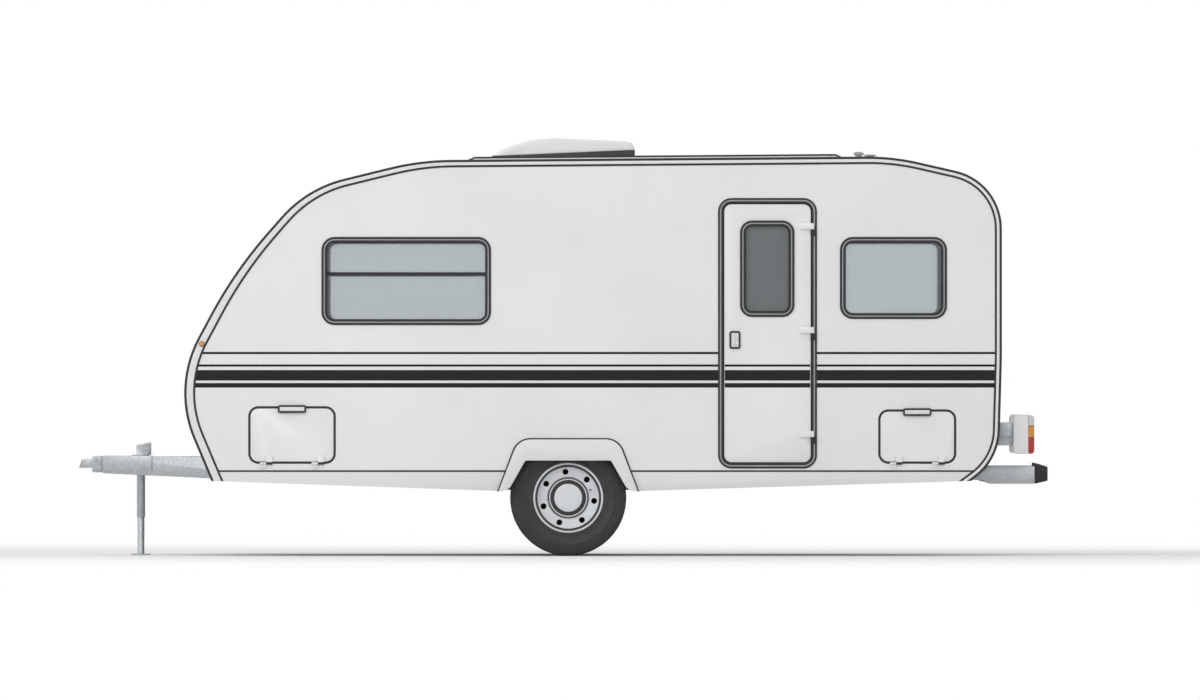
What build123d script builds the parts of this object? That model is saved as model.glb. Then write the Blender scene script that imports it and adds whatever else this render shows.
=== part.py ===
"""Single-axle travel caravan standing on its wheels and nose jack.

X runs backwards, the door side faces -Y and Z is up; the origin is on the ground below the middle.
"""
from build123d import *
from collections import namedtuple
from math import atan2, cos, hypot, sin, tan
import os

# Body shell
BODY_WIDTH = 2250.0
WALL = 30.0
SILL_Z = 480.0
WALL_BOTTOM_Z = 544.0
ROOF_JOINT_FRONT_X = -1180.0
ROOF_JOINT_REAR_X = 2400.0
CLEARANCE = 5.0
FLOOR_THICKNESS = 40.0
FLOOR_STEP_X = -2090.0
FLOOR_STEP_Z = 645.0
HALF_WIDTH = BODY_WIDTH / 2
INNER_HALF = HALF_WIDTH - WALL

# Corners of the side outline: name, x, z, radius, trim width on the side that follows
BODY_CORNERS = (
    ("foot", -2240.0, SILL_Z, 0.0, 55.0),
    ("knee", -2494.0, 1081.0, 746.0, 53.0),
    ("brow", -2094.0, 1827.0, 2815.0, 44.0),
    ("forehead", -1632.0, 2351.0, 778.0, 36.0),
    ("roof_front", -910.0, 2528.0, 1702.0, 32.0),
    ("shoulder", 2114.0, 2552.0, 1436.0, 30.0),
    ("back_top", 2808.0, 2393.0, 373.0, 29.0),
    ("back", 2808.0, 1255.0, 4631.0, 29.0),
    ("tail", 2790.0, 616.0, 385.0, 29.0),
    ("heel", 2605.0, SILL_Z, 0.0, 0.0),
)
FOOT_X = BODY_CORNERS[0][1]
KNEE_X = BODY_CORNERS[1][1]
HEEL_X = BODY_CORNERS[-1][1]
REAR_FACE_X = BODY_CORNERS[6][1]
BEYOND = 2 * REAR_FACE_X
TRIM_PROUD = 6.0
TRIM_CAP = 4.0
TRIM_LAP = 46.0

# Wheels and axle
AXLE_X = 38.0
TYRE_RADIUS = 372.0
TYRE_WIDTH = 225.0
WHEEL_INSET = 153.0
WHEEL_OUT = HALF_WIDTH - WHEEL_INSET
RIM_RADIUS = 227.0
VENT_HOLES = 7
STUB_RADIUS = 20.0
ARM_REACH = 160.0

# Chassis and drawbar
RAIL_INSET = 385.0
RAIL_OUT = HALF_WIDTH - RAIL_INSET
RAIL_WIDTH = 50.0
RAIL_SHEET = 6.0
RAIL_FRONT_X = -1540.0
RAIL_OVERHANG = 35.0
RAIL_REAR_X = HEEL_X + RAIL_OVERHANG
DRAWBAR_FRONT_X = -2958.0
DRAWBAR_FRONT_OUT = 45.0
DRAWBAR_TOP_Z = 634.0
DRAWBAR_DEPTH = 106.0
GUSSET_SHEET = 5.0
COUPLING_LENGTH = 154.0
COUPLING_TIP_X = DRAWBAR_FRONT_X - COUPLING_LENGTH
BALL_RADIUS = 25.25
BALL_SETBACK = 44.0
BALL_X = COUPLING_TIP_X + BALL_SETBACK
JACK_SETBACK = 245.0
JACK_X = DRAWBAR_FRONT_X + JACK_SETBACK
JACK_RADIUS = 27.0
JACK_TUBE_BOTTOM_Z = 243.0
GUSSET_BEHIND_JACK = 72.0
GUSSET_REAR_X = JACK_X + GUSSET_BEHIND_JACK

# Windows, door and hatches
SEAL_WIDTH = 38.0
SEAL_LAP = 18.0
SEAL_PROUD = 8.0
PANE = 5.0
PANE_BITE = 8.0
DOOR_FRAME_WIDTH = 35.0
DOOR_FRAME_PROUD = 6.0
DOOR_STOP = 12.0
HATCH_FRAME_LAP = 9.0
KNUCKLE_RADIUS = 8.0
KNUCKLE_LENGTH = 40.0
PIN_RADIUS = 3.5
PIN_PLAY = 0.5

# Rounded rectangles in a wall: edges along and up, corner radius
Panel = namedtuple("Panel", "x0 x1 z0 z1 radius")
FRONT_WINDOW = Panel(-1541.0, -456.0, 1478.0, 2042.0, 83.0)
REAR_SIDE_WINDOW = Panel(1777.0, 2462.0, 1517.0, 2042.0, 83.0)
END_WINDOW_INSET = 485.0
END_WINDOW = Panel(END_WINDOW_INSET - HALF_WIDTH, HALF_WIDTH - END_WINDOW_INSET, 1478.0, 2042.0, 83.0)
DOOR_OUTLINE = Panel(997.0, 1630.0, 560.0, 2291.0, 86.0)
DOOR_WINDOW = Panel(1138.0, 1486.0, 1530.0, 2147.0, 77.0)
HATCHES = {
    "front": Panel(-2005.0, -1454.0, 595.0, 954.0, 60.0),
    "rear": Panel(2027.0, 2517.0, 595.0, 934.0, 60.0),
}
WINDOW_BAR_Z = 1805.0
WINDOW_BAR = 28.0

# Wheel arch moulding, half lengths from the axle: name, along, z, radius
ARCH_OUTER = (
    ("tip", 446.0, 413.0, 0.0),
    ("shoulder", 318.0, 746.0, 112.0),
)
ARCH_INNER = (
    ("corner", 274.0, 611.0, 18.0),
    ("flare", 380.0, 424.0, 60.0),
)
ARCH_HALF = ARCH_OUTER[0][1]
ARCH_PROUD = 20.0
ARCH_LIP = 14.0
SKIRT_THICKNESS = 12.0
SKIRT_LOW_Z = 416.0
WELL_HALF = 420.0
WELL_TOP_Z = 817.0
WELL_REACH = 142.0
WELL_INNER_OUT = WHEEL_OUT - WELL_REACH
WELL_SHEET = 12.0

# Worked-out places
FLOOR_JOINT = 1.0
FLOOR_BOTTOM_Z = WALL_BOTTOM_Z + FLOOR_JOINT
FLOOR_TOP_Z = FLOOR_BOTTOM_Z + FLOOR_THICKNESS
WALL_FACE = Plane.XZ.offset(HALF_WIDTH)
LINING_FACE = Plane.XZ.offset(INNER_HALF)
REAR_FACE = Plane.YZ.offset(REAR_FACE_X)
WHEEL_AXIS = Axis((AXLE_X, 0, TYRE_RADIUS), (0, 1, 0))
SIDES = (("left", -1), ("right", 1))
finished = []


def finish(piece, label):
    """Name a finished piece and keep it for export."""
    piece.part.label = label
    finished.append(piece)


def meet(line_a, line_b):
    """Point where two lines, each a point and a direction, cross."""
    (ax, az, adx, adz), (bx, bz, bdx, bdz) = line_a, line_b
    step = ((bx - ax) * bdz - (bz - az) * bdx) / (adx * bdz - adz * bdx)
    return ax + adx * step, az + adz * step


def body_outline(insets):
    """Corners and radii of the side outline with each side moved inwards by its own inset."""
    sides = []
    for (_, x0, z0, _, _), (_, x1, z1, _, _), inset in zip(BODY_CORNERS, BODY_CORNERS[1:], insets):
        length = hypot(x1 - x0, z1 - z0)
        dx, dz = (x1 - x0) / length, (z1 - z0) / length
        sides.append((x0 + dz * inset, z0 - dx * inset, dx, dz))
    sill = (0.0, SILL_Z, 1.0, 0.0)
    corners = [meet(sill, sides[0])]
    corners += [meet(before, after) for before, after in zip(sides, sides[1:])]
    corners.append(meet(sides[-1], sill))
    radii = [corner[3] - inset for corner, inset in zip(BODY_CORNERS[1:-1], insets)]
    return corners, [0.0, *radii, 0.0]


def body_face(inset, plane=Plane.XY):
    """Face of the side outline, moved inwards by one inset or by one inset for each side."""
    insets = inset if isinstance(inset, list) else [inset] * (len(BODY_CORNERS) - 1)
    corners, radii = body_outline(insets)
    with BuildSketch(plane) as face:
        with BuildLine():
            FilletPolyline(*corners, radius=radii, close=True)
        make_face()
    return face.sketch


def block_face(x0, x1, z0, z1, plane=Plane.XY):
    """Plain rectangle between two stations and two heights."""
    with BuildSketch(plane) as face:
        with Locations(((x0 + x1) / 2, (z0 + z1) / 2)):
            Rectangle(x1 - x0, z1 - z0)
    return face.sketch


def panel_face(panel, plane=Plane.XY, grow=0.0):
    """Rounded rectangle of a window, door or hatch, grown on all sides."""
    with BuildSketch(plane) as face:
        with Locations(((panel.x0 + panel.x1) / 2, (panel.z0 + panel.z1) / 2)):
            RectangleRounded(
                panel.x1 - panel.x0 + 2 * grow, panel.z1 - panel.z0 + 2 * grow, panel.radius + grow
            )
    return face.sketch


def ring_face(panel, plane, outer, inner):
    """Band between two growths of a rounded rectangle."""
    with BuildSketch(plane) as face:
        add(panel_face(panel, grow=outer))
        add(panel_face(panel, grow=inner), mode=Mode.SUBTRACT)
    return face.sketch


def outline_face(points, radii, plane=Plane.XY):
    """Closed outline of straight sides with one radius for each corner."""
    with BuildSketch(plane) as face:
        with BuildLine():
            FilletPolyline(*points, radius=radii, close=True)
        make_face()
    return face.sketch


def roof_z(x):
    """Height of the straight stretch of roof at a station."""
    _, x0, z0, _, _ = BODY_CORNERS[4]
    _, x1, z1, _, _ = BODY_CORNERS[5]
    return z0 + (z1 - z0) * (x - x0) / (x1 - x0)


def arch_opening(grow, plane=Plane.XY):
    """Opening of the wheel arch, its sides and top moved outwards."""
    (_, corner, top, corner_radius), (_, flare, flare_z, flare_radius) = ARCH_INNER
    _, tip, low, _ = ARCH_OUTER[0]
    half = [(tip + grow, low), (flare + grow, flare_z + grow), (corner + grow, top + grow)]
    points = [(AXLE_X - along, z) for along, z in half]
    points += [(AXLE_X + along, z) for along, z in reversed(half)]
    radii = [0.0, flare_radius, corner_radius, corner_radius, flare_radius, 0.0]
    return outline_face(points, radii, plane)


def wheel_section(points, radii, side):
    """Face of a section given as distances out from the centre plane and radii from the wheel axis."""
    with BuildSketch(Plane.YZ.offset(AXLE_X)) as face:
        with BuildLine():
            FilletPolyline(*[(side * out, TYRE_RADIUS + r) for out, r in points], radius=radii, close=True)
        make_face()
    return face.sketch


def skirt_z(x):
    """Lower edge of the side skirt at a station: it falls from both ends to the wheel arch."""
    if x < AXLE_X:
        end_x, arch_x = FOOT_X, AXLE_X - ARCH_HALF
    else:
        end_x, arch_x = HEEL_X, AXLE_X + ARCH_HALF
    share = (x - arch_x) / (end_x - arch_x)
    return SKIRT_LOW_Z + (SILL_Z - SKIRT_LOW_Z) * max(share, 0.0)


# Chassis rails: channels that taper from the axle to both ends
RAIL_LIFT = 5.0
rail_profile = [
    (RAIL_FRONT_X, FLOOR_BOTTOM_Z),
    (RAIL_FRONT_X, skirt_z(RAIL_FRONT_X) + RAIL_LIFT),
    (AXLE_X - ARCH_HALF, SKIRT_LOW_Z + RAIL_LIFT),
    (AXLE_X + ARCH_HALF, SKIRT_LOW_Z + RAIL_LIFT),
    (RAIL_REAR_X, SILL_Z + RAIL_LIFT),
    (RAIL_REAR_X, FLOOR_BOTTOM_Z),
]
RAIL_INNER_OUT = RAIL_OUT - RAIL_WIDTH / 2
with BuildPart() as chassis_rails:
    with BuildSketch(Plane.XZ.offset(RAIL_INNER_OUT)) as web:
        with BuildLine():
            Polyline(*rail_profile, close=True)
        make_face()
    extrude(amount=RAIL_WIDTH)
    with BuildSketch(Plane.XZ.offset(RAIL_INNER_OUT + RAIL_SHEET)):
        add(web.sketch_local)
        offset(amount=-RAIL_SHEET, kind=Kind.INTERSECTION)
    extrude(amount=RAIL_WIDTH - RAIL_SHEET, mode=Mode.SUBTRACT)
    mirror(about=Plane.XZ)
finish(chassis_rails, "chassis_rails")

# Cross-members between the rails and outriggers from the rails to the walls
CROSS_X = (-1380.0, -330.0, 620.0, 1500.0, 2480.0)
CROSS_SECTION = (40.0, 56.0)
OUTRIGGER_X = (-1380.0, -620.0, 900.0, 1700.0)
OUTRIGGER_TIP = 30.0
with BuildPart() as cross_members:
    for x in CROSS_X:
        with BuildSketch(Plane.XZ.offset(-RAIL_INNER_OUT)):
            with Locations((x, FLOOR_BOTTOM_Z - CROSS_SECTION[1] / 2)):
                Rectangle(*CROSS_SECTION)
                Rectangle(*[side - 2 * RAIL_SHEET for side in CROSS_SECTION], mode=Mode.SUBTRACT)
        extrude(amount=2 * RAIL_INNER_OUT)
    for x in OUTRIGGER_X:
        with BuildSketch(Plane.YZ.offset(x)):
            with BuildLine():
                Polyline(
                    (-RAIL_OUT - RAIL_WIDTH / 2, FLOOR_BOTTOM_Z),
                    (-RAIL_OUT - RAIL_WIDTH / 2, FLOOR_BOTTOM_Z - CROSS_SECTION[1]),
                    (-INNER_HALF, FLOOR_BOTTOM_Z - OUTRIGGER_TIP),
                    (-INNER_HALF, FLOOR_BOTTOM_Z),
                    close=True,
                )
            make_face()
            mirror(about=Plane.YZ)
        extrude(amount=RAIL_SHEET, both=True)
finish(cross_members, "cross_members")

# Drawbar rails: straight to the coupling, cranked down behind the front panel
CRANK_X = (-2235.0, -2135.0)
CRANK_RADIUS = 60.0
DRAWBAR_HEEL_RISE = 14.0
DRAWBAR_OVERRUN = 60.0
drawbar_run = RAIL_INNER_OUT - DRAWBAR_FRONT_OUT
drawbar_angle = atan2(drawbar_run, RAIL_FRONT_X - DRAWBAR_FRONT_X)
drawbar_plane = Plane(
    origin=(DRAWBAR_FRONT_X, -DRAWBAR_FRONT_OUT, 0),
    x_dir=(cos(drawbar_angle), -sin(drawbar_angle), 0),
    z_dir=(-sin(drawbar_angle), -cos(drawbar_angle), 0),
)
drawbar_side = [
    (DRAWBAR_FRONT_X - DRAWBAR_OVERRUN, DRAWBAR_TOP_Z),
    (CRANK_X[0], DRAWBAR_TOP_Z),
    (CRANK_X[1], FLOOR_BOTTOM_Z),
    (RAIL_FRONT_X + DRAWBAR_OVERRUN, FLOOR_BOTTOM_Z),
    (RAIL_FRONT_X + DRAWBAR_OVERRUN, skirt_z(RAIL_FRONT_X) + RAIL_LIFT),
    (FOOT_X, SILL_Z + DRAWBAR_HEEL_RISE),
    (DRAWBAR_FRONT_X - DRAWBAR_OVERRUN, DRAWBAR_TOP_Z - DRAWBAR_DEPTH),
]
with BuildPart() as drawbar_rails:
    with BuildSketch(drawbar_plane):
        with BuildLine():
            along = [((x - DRAWBAR_FRONT_X) / cos(drawbar_angle), z) for x, z in drawbar_side]
            FilletPolyline(*along, radius=[0, CRANK_RADIUS, CRANK_RADIUS, 0, 0, 0, 0], close=True)
        make_face()
    extrude(amount=RAIL_WIDTH / 2, both=True)
    split(bisect_by=Plane.XZ.offset(RAIL_INNER_OUT), keep=Keep.BOTTOM)
    split(bisect_by=Plane.YZ.offset(DRAWBAR_FRONT_X), keep=Keep.TOP)
    split(bisect_by=Plane.XZ, keep=Keep.TOP)
    mirror(about=Plane.XZ)
finish(drawbar_rails, "drawbar_rails")


def drawbar_out(x):
    """Distance of the outer face of a drawbar rail from the centre plane at a station."""
    middle = DRAWBAR_FRONT_OUT + (x - DRAWBAR_FRONT_X) * tan(drawbar_angle)
    return middle + RAIL_WIDTH / 2 / cos(drawbar_angle)


# Gusset: folded plate over the front of the drawbar that carries the jack
def gusset_plan(grow):
    """Plan of the front of the drawbar, its sides moved outwards."""
    front = drawbar_out(DRAWBAR_FRONT_X) + grow / cos(drawbar_angle)
    rear = drawbar_out(GUSSET_REAR_X) + grow / cos(drawbar_angle)
    near_side = [(DRAWBAR_FRONT_X, -front), (GUSSET_REAR_X, -rear)]
    return near_side + [(x, -y) for x, y in reversed(near_side)]


GUSSET_TOP_Z = DRAWBAR_TOP_Z + GUSSET_SHEET
GUSSET_DEPTH = 100.0
with BuildPart() as drawbar_gusset:
    with BuildSketch(Plane.XY.offset(GUSSET_TOP_Z)):
        with BuildLine():
            Polyline(*gusset_plan(GUSSET_SHEET), close=True)
        make_face()
    extrude(amount=-GUSSET_DEPTH)
    with BuildSketch(Plane.XY.offset(DRAWBAR_TOP_Z)):
        with BuildLine():
            Polyline(*gusset_plan(0.0), close=True)
        make_face()
    extrude(amount=-GUSSET_DEPTH, mode=Mode.SUBTRACT)
    with Locations((JACK_X, 0, GUSSET_TOP_Z)):
        Hole(JACK_RADIUS)
finish(drawbar_gusset, "drawbar_gusset")

# Coupling: block bolted to the drawbar and a nose, cut back towards its top, with the ball socket
COUPLING_BLOCK_LENGTH = 70.0
COUPLING_BLOCK_X = DRAWBAR_FRONT_X - COUPLING_BLOCK_LENGTH
COUPLING_BLOCK_Z = (531.0, 637.0)
COUPLING_NOSE_Z = (560.0, 618.0)
COUPLING_BLOCK_WIDTH = 104.0
COUPLING_BLOCK_RADIUS = 14.0
COUPLING_NOSE_WIDTH = 76.0
NOSE_RADIUS = 34.0
NOSE_LAP = 20.0
NOSE_SLANT = 18.0
SOCKET_DEPTH = 24.0
nose_rear_x = COUPLING_BLOCK_X + NOSE_LAP
nose_side = [
    (nose_rear_x, COUPLING_NOSE_Z[0]),
    (COUPLING_TIP_X, COUPLING_NOSE_Z[0]),
    (COUPLING_TIP_X + NOSE_SLANT, COUPLING_NOSE_Z[1]),
    (nose_rear_x, COUPLING_NOSE_Z[1]),
]
nose_plan = [
    (nose_rear_x, -COUPLING_NOSE_WIDTH / 2),
    (COUPLING_TIP_X, -COUPLING_NOSE_WIDTH / 2),
    (COUPLING_TIP_X, COUPLING_NOSE_WIDTH / 2),
    (nose_rear_x, COUPLING_NOSE_WIDTH / 2),
]
with BuildPart() as coupling:
    extrude(
        outline_face(nose_side, [0] * len(nose_side), Plane.XZ.offset(-COUPLING_NOSE_WIDTH / 2)),
        amount=COUPLING_NOSE_WIDTH,
    )
    extrude(
        outline_face(nose_plan, [0, NOSE_RADIUS, NOSE_RADIUS, 0]),
        amount=COUPLING_NOSE_Z[1],
        mode=Mode.INTERSECT,
    )
    with BuildSketch(Plane.XZ.offset(-COUPLING_BLOCK_WIDTH / 2)):
        add(block_face(COUPLING_BLOCK_X, DRAWBAR_FRONT_X, *COUPLING_BLOCK_Z))
        fillet(vertices().group_by(Axis.X)[0], COUPLING_BLOCK_RADIUS)
    extrude(amount=COUPLING_BLOCK_WIDTH)
    with BuildSketch(Plane.XY.offset(COUPLING_NOSE_Z[0])):
        with Locations((BALL_X, 0)):
            Circle(BALL_RADIUS)
    extrude(amount=SOCKET_DEPTH, mode=Mode.SUBTRACT)
    with Locations((BALL_X, 0, COUPLING_NOSE_Z[0] + SOCKET_DEPTH)):
        Sphere(BALL_RADIUS, mode=Mode.SUBTRACT)
finish(coupling, "coupling")

# Jack: tube and gear head fixed to the gusset, leg that slides in the tube
JACK_BORE = 23.0
JACK_BORE_TOP_Z = 690.0
JACK_FLANGE = (58.0, 6.0)
JACK_HEAD_WIDTH = 84.0
JACK_HEAD_RADIUS = 12.0
# Gear head ahead of and behind the tube: station, top
JACK_HEAD_FRONT = (JACK_X - 30.0, 708.0)
JACK_HEAD_REAR = (JACK_X + 66.0, 728.0)
jack_seat_z = GUSSET_TOP_Z + JACK_FLANGE[1]
jack_head = [
    (JACK_HEAD_FRONT[0], jack_seat_z),
    JACK_HEAD_FRONT,
    JACK_HEAD_REAR,
    (JACK_HEAD_REAR[0], jack_seat_z),
]
with BuildPart() as jack_body:
    with BuildSketch(Plane.XY.offset(JACK_TUBE_BOTTOM_Z)):
        with Locations((JACK_X, 0)):
            Circle(JACK_RADIUS)
    extrude(amount=GUSSET_TOP_Z - JACK_TUBE_BOTTOM_Z)
    with BuildSketch(Plane.XY.offset(GUSSET_TOP_Z)):
        with Locations((JACK_X, 0)):
            Circle(JACK_FLANGE[0])
    extrude(amount=JACK_FLANGE[1])
    extrude(
        outline_face(
            jack_head, [0, JACK_HEAD_RADIUS, JACK_HEAD_RADIUS, 0], Plane.XZ.offset(-JACK_HEAD_WIDTH / 2)
        ),
        amount=JACK_HEAD_WIDTH,
    )
    with BuildSketch(Plane.XY.offset(JACK_TUBE_BOTTOM_Z)):
        with Locations((JACK_X, 0)):
            Circle(JACK_BORE)
    extrude(amount=JACK_BORE_TOP_Z - JACK_TUBE_BOTTOM_Z, mode=Mode.SUBTRACT)
finish(jack_body, "jack_body")

LEG_TOP_Z = 450.0
FOOT = (65.0, 8.0)
with BuildPart() as jack_leg:
    with BuildSketch(Plane.XY):
        with Locations((JACK_X, 0)):
            Circle(FOOT[0])
    extrude(amount=FOOT[1])
    with BuildSketch(Plane.XY):
        with Locations((JACK_X, 0)):
            Circle(JACK_BORE - PIN_PLAY)
    extrude(amount=LEG_TOP_Z)
finish(jack_leg, "jack_leg")

# Axle: beam under the rails, trailing arms and stub axles
BEAM = 66.0
BEAM_RADIUS = 10.0
BEAM_X = AXLE_X - ARM_REACH
BEAM_Z = SKIRT_LOW_Z + RAIL_LIFT - BEAM / 2
ARM_INSET = 177.0
ARM_OUT = WHEEL_OUT - ARM_INSET
ARM_THICKNESS = 30.0
STUB_REACH = 40.0
STUB_END_OUT = WHEEL_OUT + STUB_REACH
ARM_END_RADIUS = 1.5 * STUB_RADIUS
with BuildPart() as axle_beam:
    with BuildSketch(Plane.XZ.offset(-ARM_OUT)):
        with Locations((BEAM_X, BEAM_Z)):
            RectangleRounded(BEAM, BEAM, BEAM_RADIUS)
    extrude(amount=2 * ARM_OUT)
    with BuildSketch(Plane.XZ.offset(ARM_OUT)):
        with BuildLine():
            Polyline(
                (BEAM_X, BEAM_Z + BEAM / 2),
                (BEAM_X, BEAM_Z - BEAM / 2),
                (AXLE_X, TYRE_RADIUS - ARM_END_RADIUS),
                (AXLE_X, TYRE_RADIUS + ARM_END_RADIUS),
                close=True,
            )
        make_face()
        with Locations((BEAM_X, BEAM_Z)):
            Circle(BEAM / 2)
        with Locations((AXLE_X, TYRE_RADIUS)):
            Circle(ARM_END_RADIUS)
    extrude(amount=ARM_THICKNESS)
    with BuildSketch(Plane.XZ.offset(ARM_OUT)):
        with Locations((AXLE_X, TYRE_RADIUS)):
            Circle(STUB_RADIUS)
    extrude(amount=STUB_END_OUT - ARM_OUT)
    mirror(about=Plane.XZ)
finish(axle_beam, "axle_beam")

# Corner steadies, folded up below the floor near the four corners
STEADY_X = (-1900.0, 2300.0)
STEADY_INSET = 195.0
STEADY_OUT = HALF_WIDTH - STEADY_INSET
STEADY_LENGTH = 430.0
STEADY_WIDTH = 44.0
STEADY_DEPTH = 34.0
STEADY_RADII = (14.0, 7.0)
with BuildPart() as corner_steadies:
    for x in STEADY_X:
        with BuildSketch(Plane.XZ.offset(STEADY_OUT - STEADY_WIDTH / 2)):
            with BuildLine():
                FilletPolyline(
                    (x - STEADY_LENGTH / 2, FLOOR_BOTTOM_Z),
                    (x - STEADY_LENGTH / 2, FLOOR_BOTTOM_Z - STEADY_DEPTH),
                    (x + STEADY_LENGTH / 2, FLOOR_BOTTOM_Z - STEADY_DEPTH / 2),
                    (x + STEADY_LENGTH / 2, FLOOR_BOTTOM_Z),
                    radius=[0, *STEADY_RADII, 0],
                    close=True,
                )
            make_face()
        extrude(amount=STEADY_WIDTH)
    mirror(about=Plane.XZ)
finish(corner_steadies, "corner_steadies")

# Water tank hung below the floor ahead of the axle
TANK_X = (-1340.0, -370.0)
TANK_SIDE_GAP = 55.0
TANK_OUT = RAIL_INNER_OUT - TANK_SIDE_GAP
TANK_DEPTH = 92.0
TANK_CORNER_RADIUS = 50.0
TANK_EDGE_RADIUS = 25.0
with BuildPart() as water_tank:
    with BuildSketch(Plane.XY.offset(FLOOR_BOTTOM_Z)):
        with Locations(((TANK_X[0] + TANK_X[1]) / 2, 0)):
            RectangleRounded(TANK_X[1] - TANK_X[0], 2 * TANK_OUT, TANK_CORNER_RADIUS)
    extrude(amount=-TANK_DEPTH)
    fillet(water_tank.faces().sort_by(Axis.Z)[0].edges(), TANK_EDGE_RADIUS)
finish(water_tank, "water_tank")

# Floor, stepped up at the front over the drawbar, with the wheel wells cut out
floor_band = [
    (KNEE_X, FLOOR_STEP_Z),
    (FLOOR_STEP_X, FLOOR_STEP_Z),
    (FLOOR_STEP_X, FLOOR_BOTTOM_Z),
    (REAR_FACE_X, FLOOR_BOTTOM_Z),
    (REAR_FACE_X, FLOOR_TOP_Z),
    (FLOOR_STEP_X + FLOOR_THICKNESS, FLOOR_TOP_Z),
    (FLOOR_STEP_X + FLOOR_THICKNESS, FLOOR_STEP_Z + FLOOR_THICKNESS),
    (KNEE_X, FLOOR_STEP_Z + FLOOR_THICKNESS),
]
with BuildPart() as floor:
    with BuildSketch(Plane.XZ.offset(-INNER_HALF)):
        with BuildLine():
            Polyline(*floor_band, close=True)
        make_face()
        add(body_face(WALL), mode=Mode.INTERSECT)
    extrude(amount=2 * INNER_HALF)
    for _, side in SIDES:
        with Locations((AXLE_X, side * (INNER_HALF + WELL_INNER_OUT) / 2, FLOOR_TOP_Z)):
            Box(2 * WELL_HALF, INNER_HALF - WELL_INNER_OUT, 2 * FLOOR_TOP_Z, mode=Mode.SUBTRACT)
finish(floor, "floor")

# Wheel boxes: open towards the wheel, standing in the wells of the floor
well_points = [
    (AXLE_X - WELL_HALF, FLOOR_BOTTOM_Z),
    (AXLE_X - WELL_HALF, WELL_TOP_Z),
    (AXLE_X + WELL_HALF, WELL_TOP_Z),
    (AXLE_X + WELL_HALF, FLOOR_BOTTOM_Z),
]
WELL_RADIUS = 150.0
with BuildPart() as wheel_boxes:
    extrude(
        outline_face(well_points, [0, WELL_RADIUS, WELL_RADIUS, 0], Plane.XZ.offset(WELL_INNER_OUT)),
        amount=INNER_HALF - WELL_INNER_OUT,
    )
    inner_points = [
        (x + (WELL_SHEET if x < AXLE_X else -WELL_SHEET), z - WELL_SHEET) for x, z in well_points
    ]
    extrude(
        outline_face(
            inner_points,
            [0, WELL_RADIUS - WELL_SHEET, WELL_RADIUS - WELL_SHEET, 0],
            Plane.XZ.offset(WELL_INNER_OUT + WELL_SHEET),
        ),
        amount=INNER_HALF - WELL_INNER_OUT,
        mode=Mode.SUBTRACT,
    )
    mirror(about=Plane.XZ)
finish(wheel_boxes, "wheel_boxes")

# Side walls: the side outline above the skirt, with windows and wheel arch; the left has door and hatches
for name, side in SIDES:
    plane = Plane.XZ.offset(INNER_HALF if side < 0 else -HALF_WIDTH)
    with BuildPart() as side_wall:
        with BuildSketch(plane):
            add(body_face(0.0))
            add(block_face(-BEYOND, BEYOND, 0, WALL_BOTTOM_Z), mode=Mode.SUBTRACT)
            add(arch_opening(ARCH_LIP), mode=Mode.SUBTRACT)
            for window in (FRONT_WINDOW, REAR_SIDE_WINDOW):
                add(panel_face(window, grow=-SEAL_LAP), mode=Mode.SUBTRACT)
            if side < 0:
                add(panel_face(DOOR_OUTLINE, grow=-SEAL_LAP), mode=Mode.SUBTRACT)
                for hatch in HATCHES.values():
                    add(panel_face(hatch, grow=CLEARANCE), mode=Mode.SUBTRACT)
        extrude(amount=WALL)
    finish(side_wall, f"side_wall_{name}")

# Front, roof and rear panels: one sandwich skin between the side walls, split at two joints
NOTCH_PLAY = 12.0
NOTCH_LENGTH = 300.0
shell_plane = Plane.XZ.offset(-INNER_HALF)
SKIN_SPANS = (
    ("front_panel", -BEYOND, ROOF_JOINT_FRONT_X),
    ("roof_panel", ROOF_JOINT_FRONT_X, ROOF_JOINT_REAR_X),
    ("rear_panel", ROOF_JOINT_REAR_X, BEYOND),
)
BUMPER_TOP_Z = 573.0
# Bumper arms: how far behind the rail they start to widen, reach their full depth and end
BUMPER_REACH = (50.0, 98.0, 392.0)
BUMPER_X = [RAIL_REAR_X + reach for reach in BUMPER_REACH]
for name, x0, x1 in SKIN_SPANS:
    with BuildPart() as skin:
        with BuildSketch(shell_plane):
            add(body_face(0.0))
            add(body_face(WALL), mode=Mode.SUBTRACT)
            add(block_face(x0, x1, 0, BEYOND), mode=Mode.INTERSECT)
        extrude(amount=2 * INNER_HALF)
        if name == "front_panel":
            for _, side in SIDES:
                middle = drawbar_out(FOOT_X) - RAIL_WIDTH / 2
                height = DRAWBAR_TOP_Z + CLEARANCE - SILL_Z
                with Locations((FOOT_X, side * middle, SILL_Z)):
                    Box(NOTCH_LENGTH, 2 * (RAIL_WIDTH + NOTCH_PLAY), 2 * height, mode=Mode.SUBTRACT)
        if name == "rear_panel":
            for _, side in SIDES:
                height = BUMPER_TOP_Z + CLEARANCE - SILL_Z
                with Locations((BUMPER_X[0], side * RAIL_OUT, SILL_Z)):
                    Box(NOTCH_LENGTH, RAIL_WIDTH + 4 * NOTCH_PLAY, 2 * height, mode=Mode.SUBTRACT)
            extrude(panel_face(END_WINDOW, REAR_FACE, -SEAL_LAP), amount=-2 * WALL, mode=Mode.SUBTRACT)
    finish(skin, name)

# Edge trims: angle mouldings over the joint of each side wall with the skin
trim_inner = [corner[4] for corner in BODY_CORNERS[:-1]]
with BuildPart() as edge_trims:
    for inner, plane, depth in (
        (trim_inner, WALL_FACE, TRIM_PROUD),
        (0.0, Plane.XZ.offset(HALF_WIDTH + TRIM_PROUD - TRIM_LAP), TRIM_LAP),
    ):
        with BuildSketch(plane):
            add(body_face(-TRIM_CAP))
            add(body_face(inner), mode=Mode.SUBTRACT)
        extrude(amount=depth)
    mirror(about=Plane.XZ)
finish(edge_trims, "edge_trims")

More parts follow.
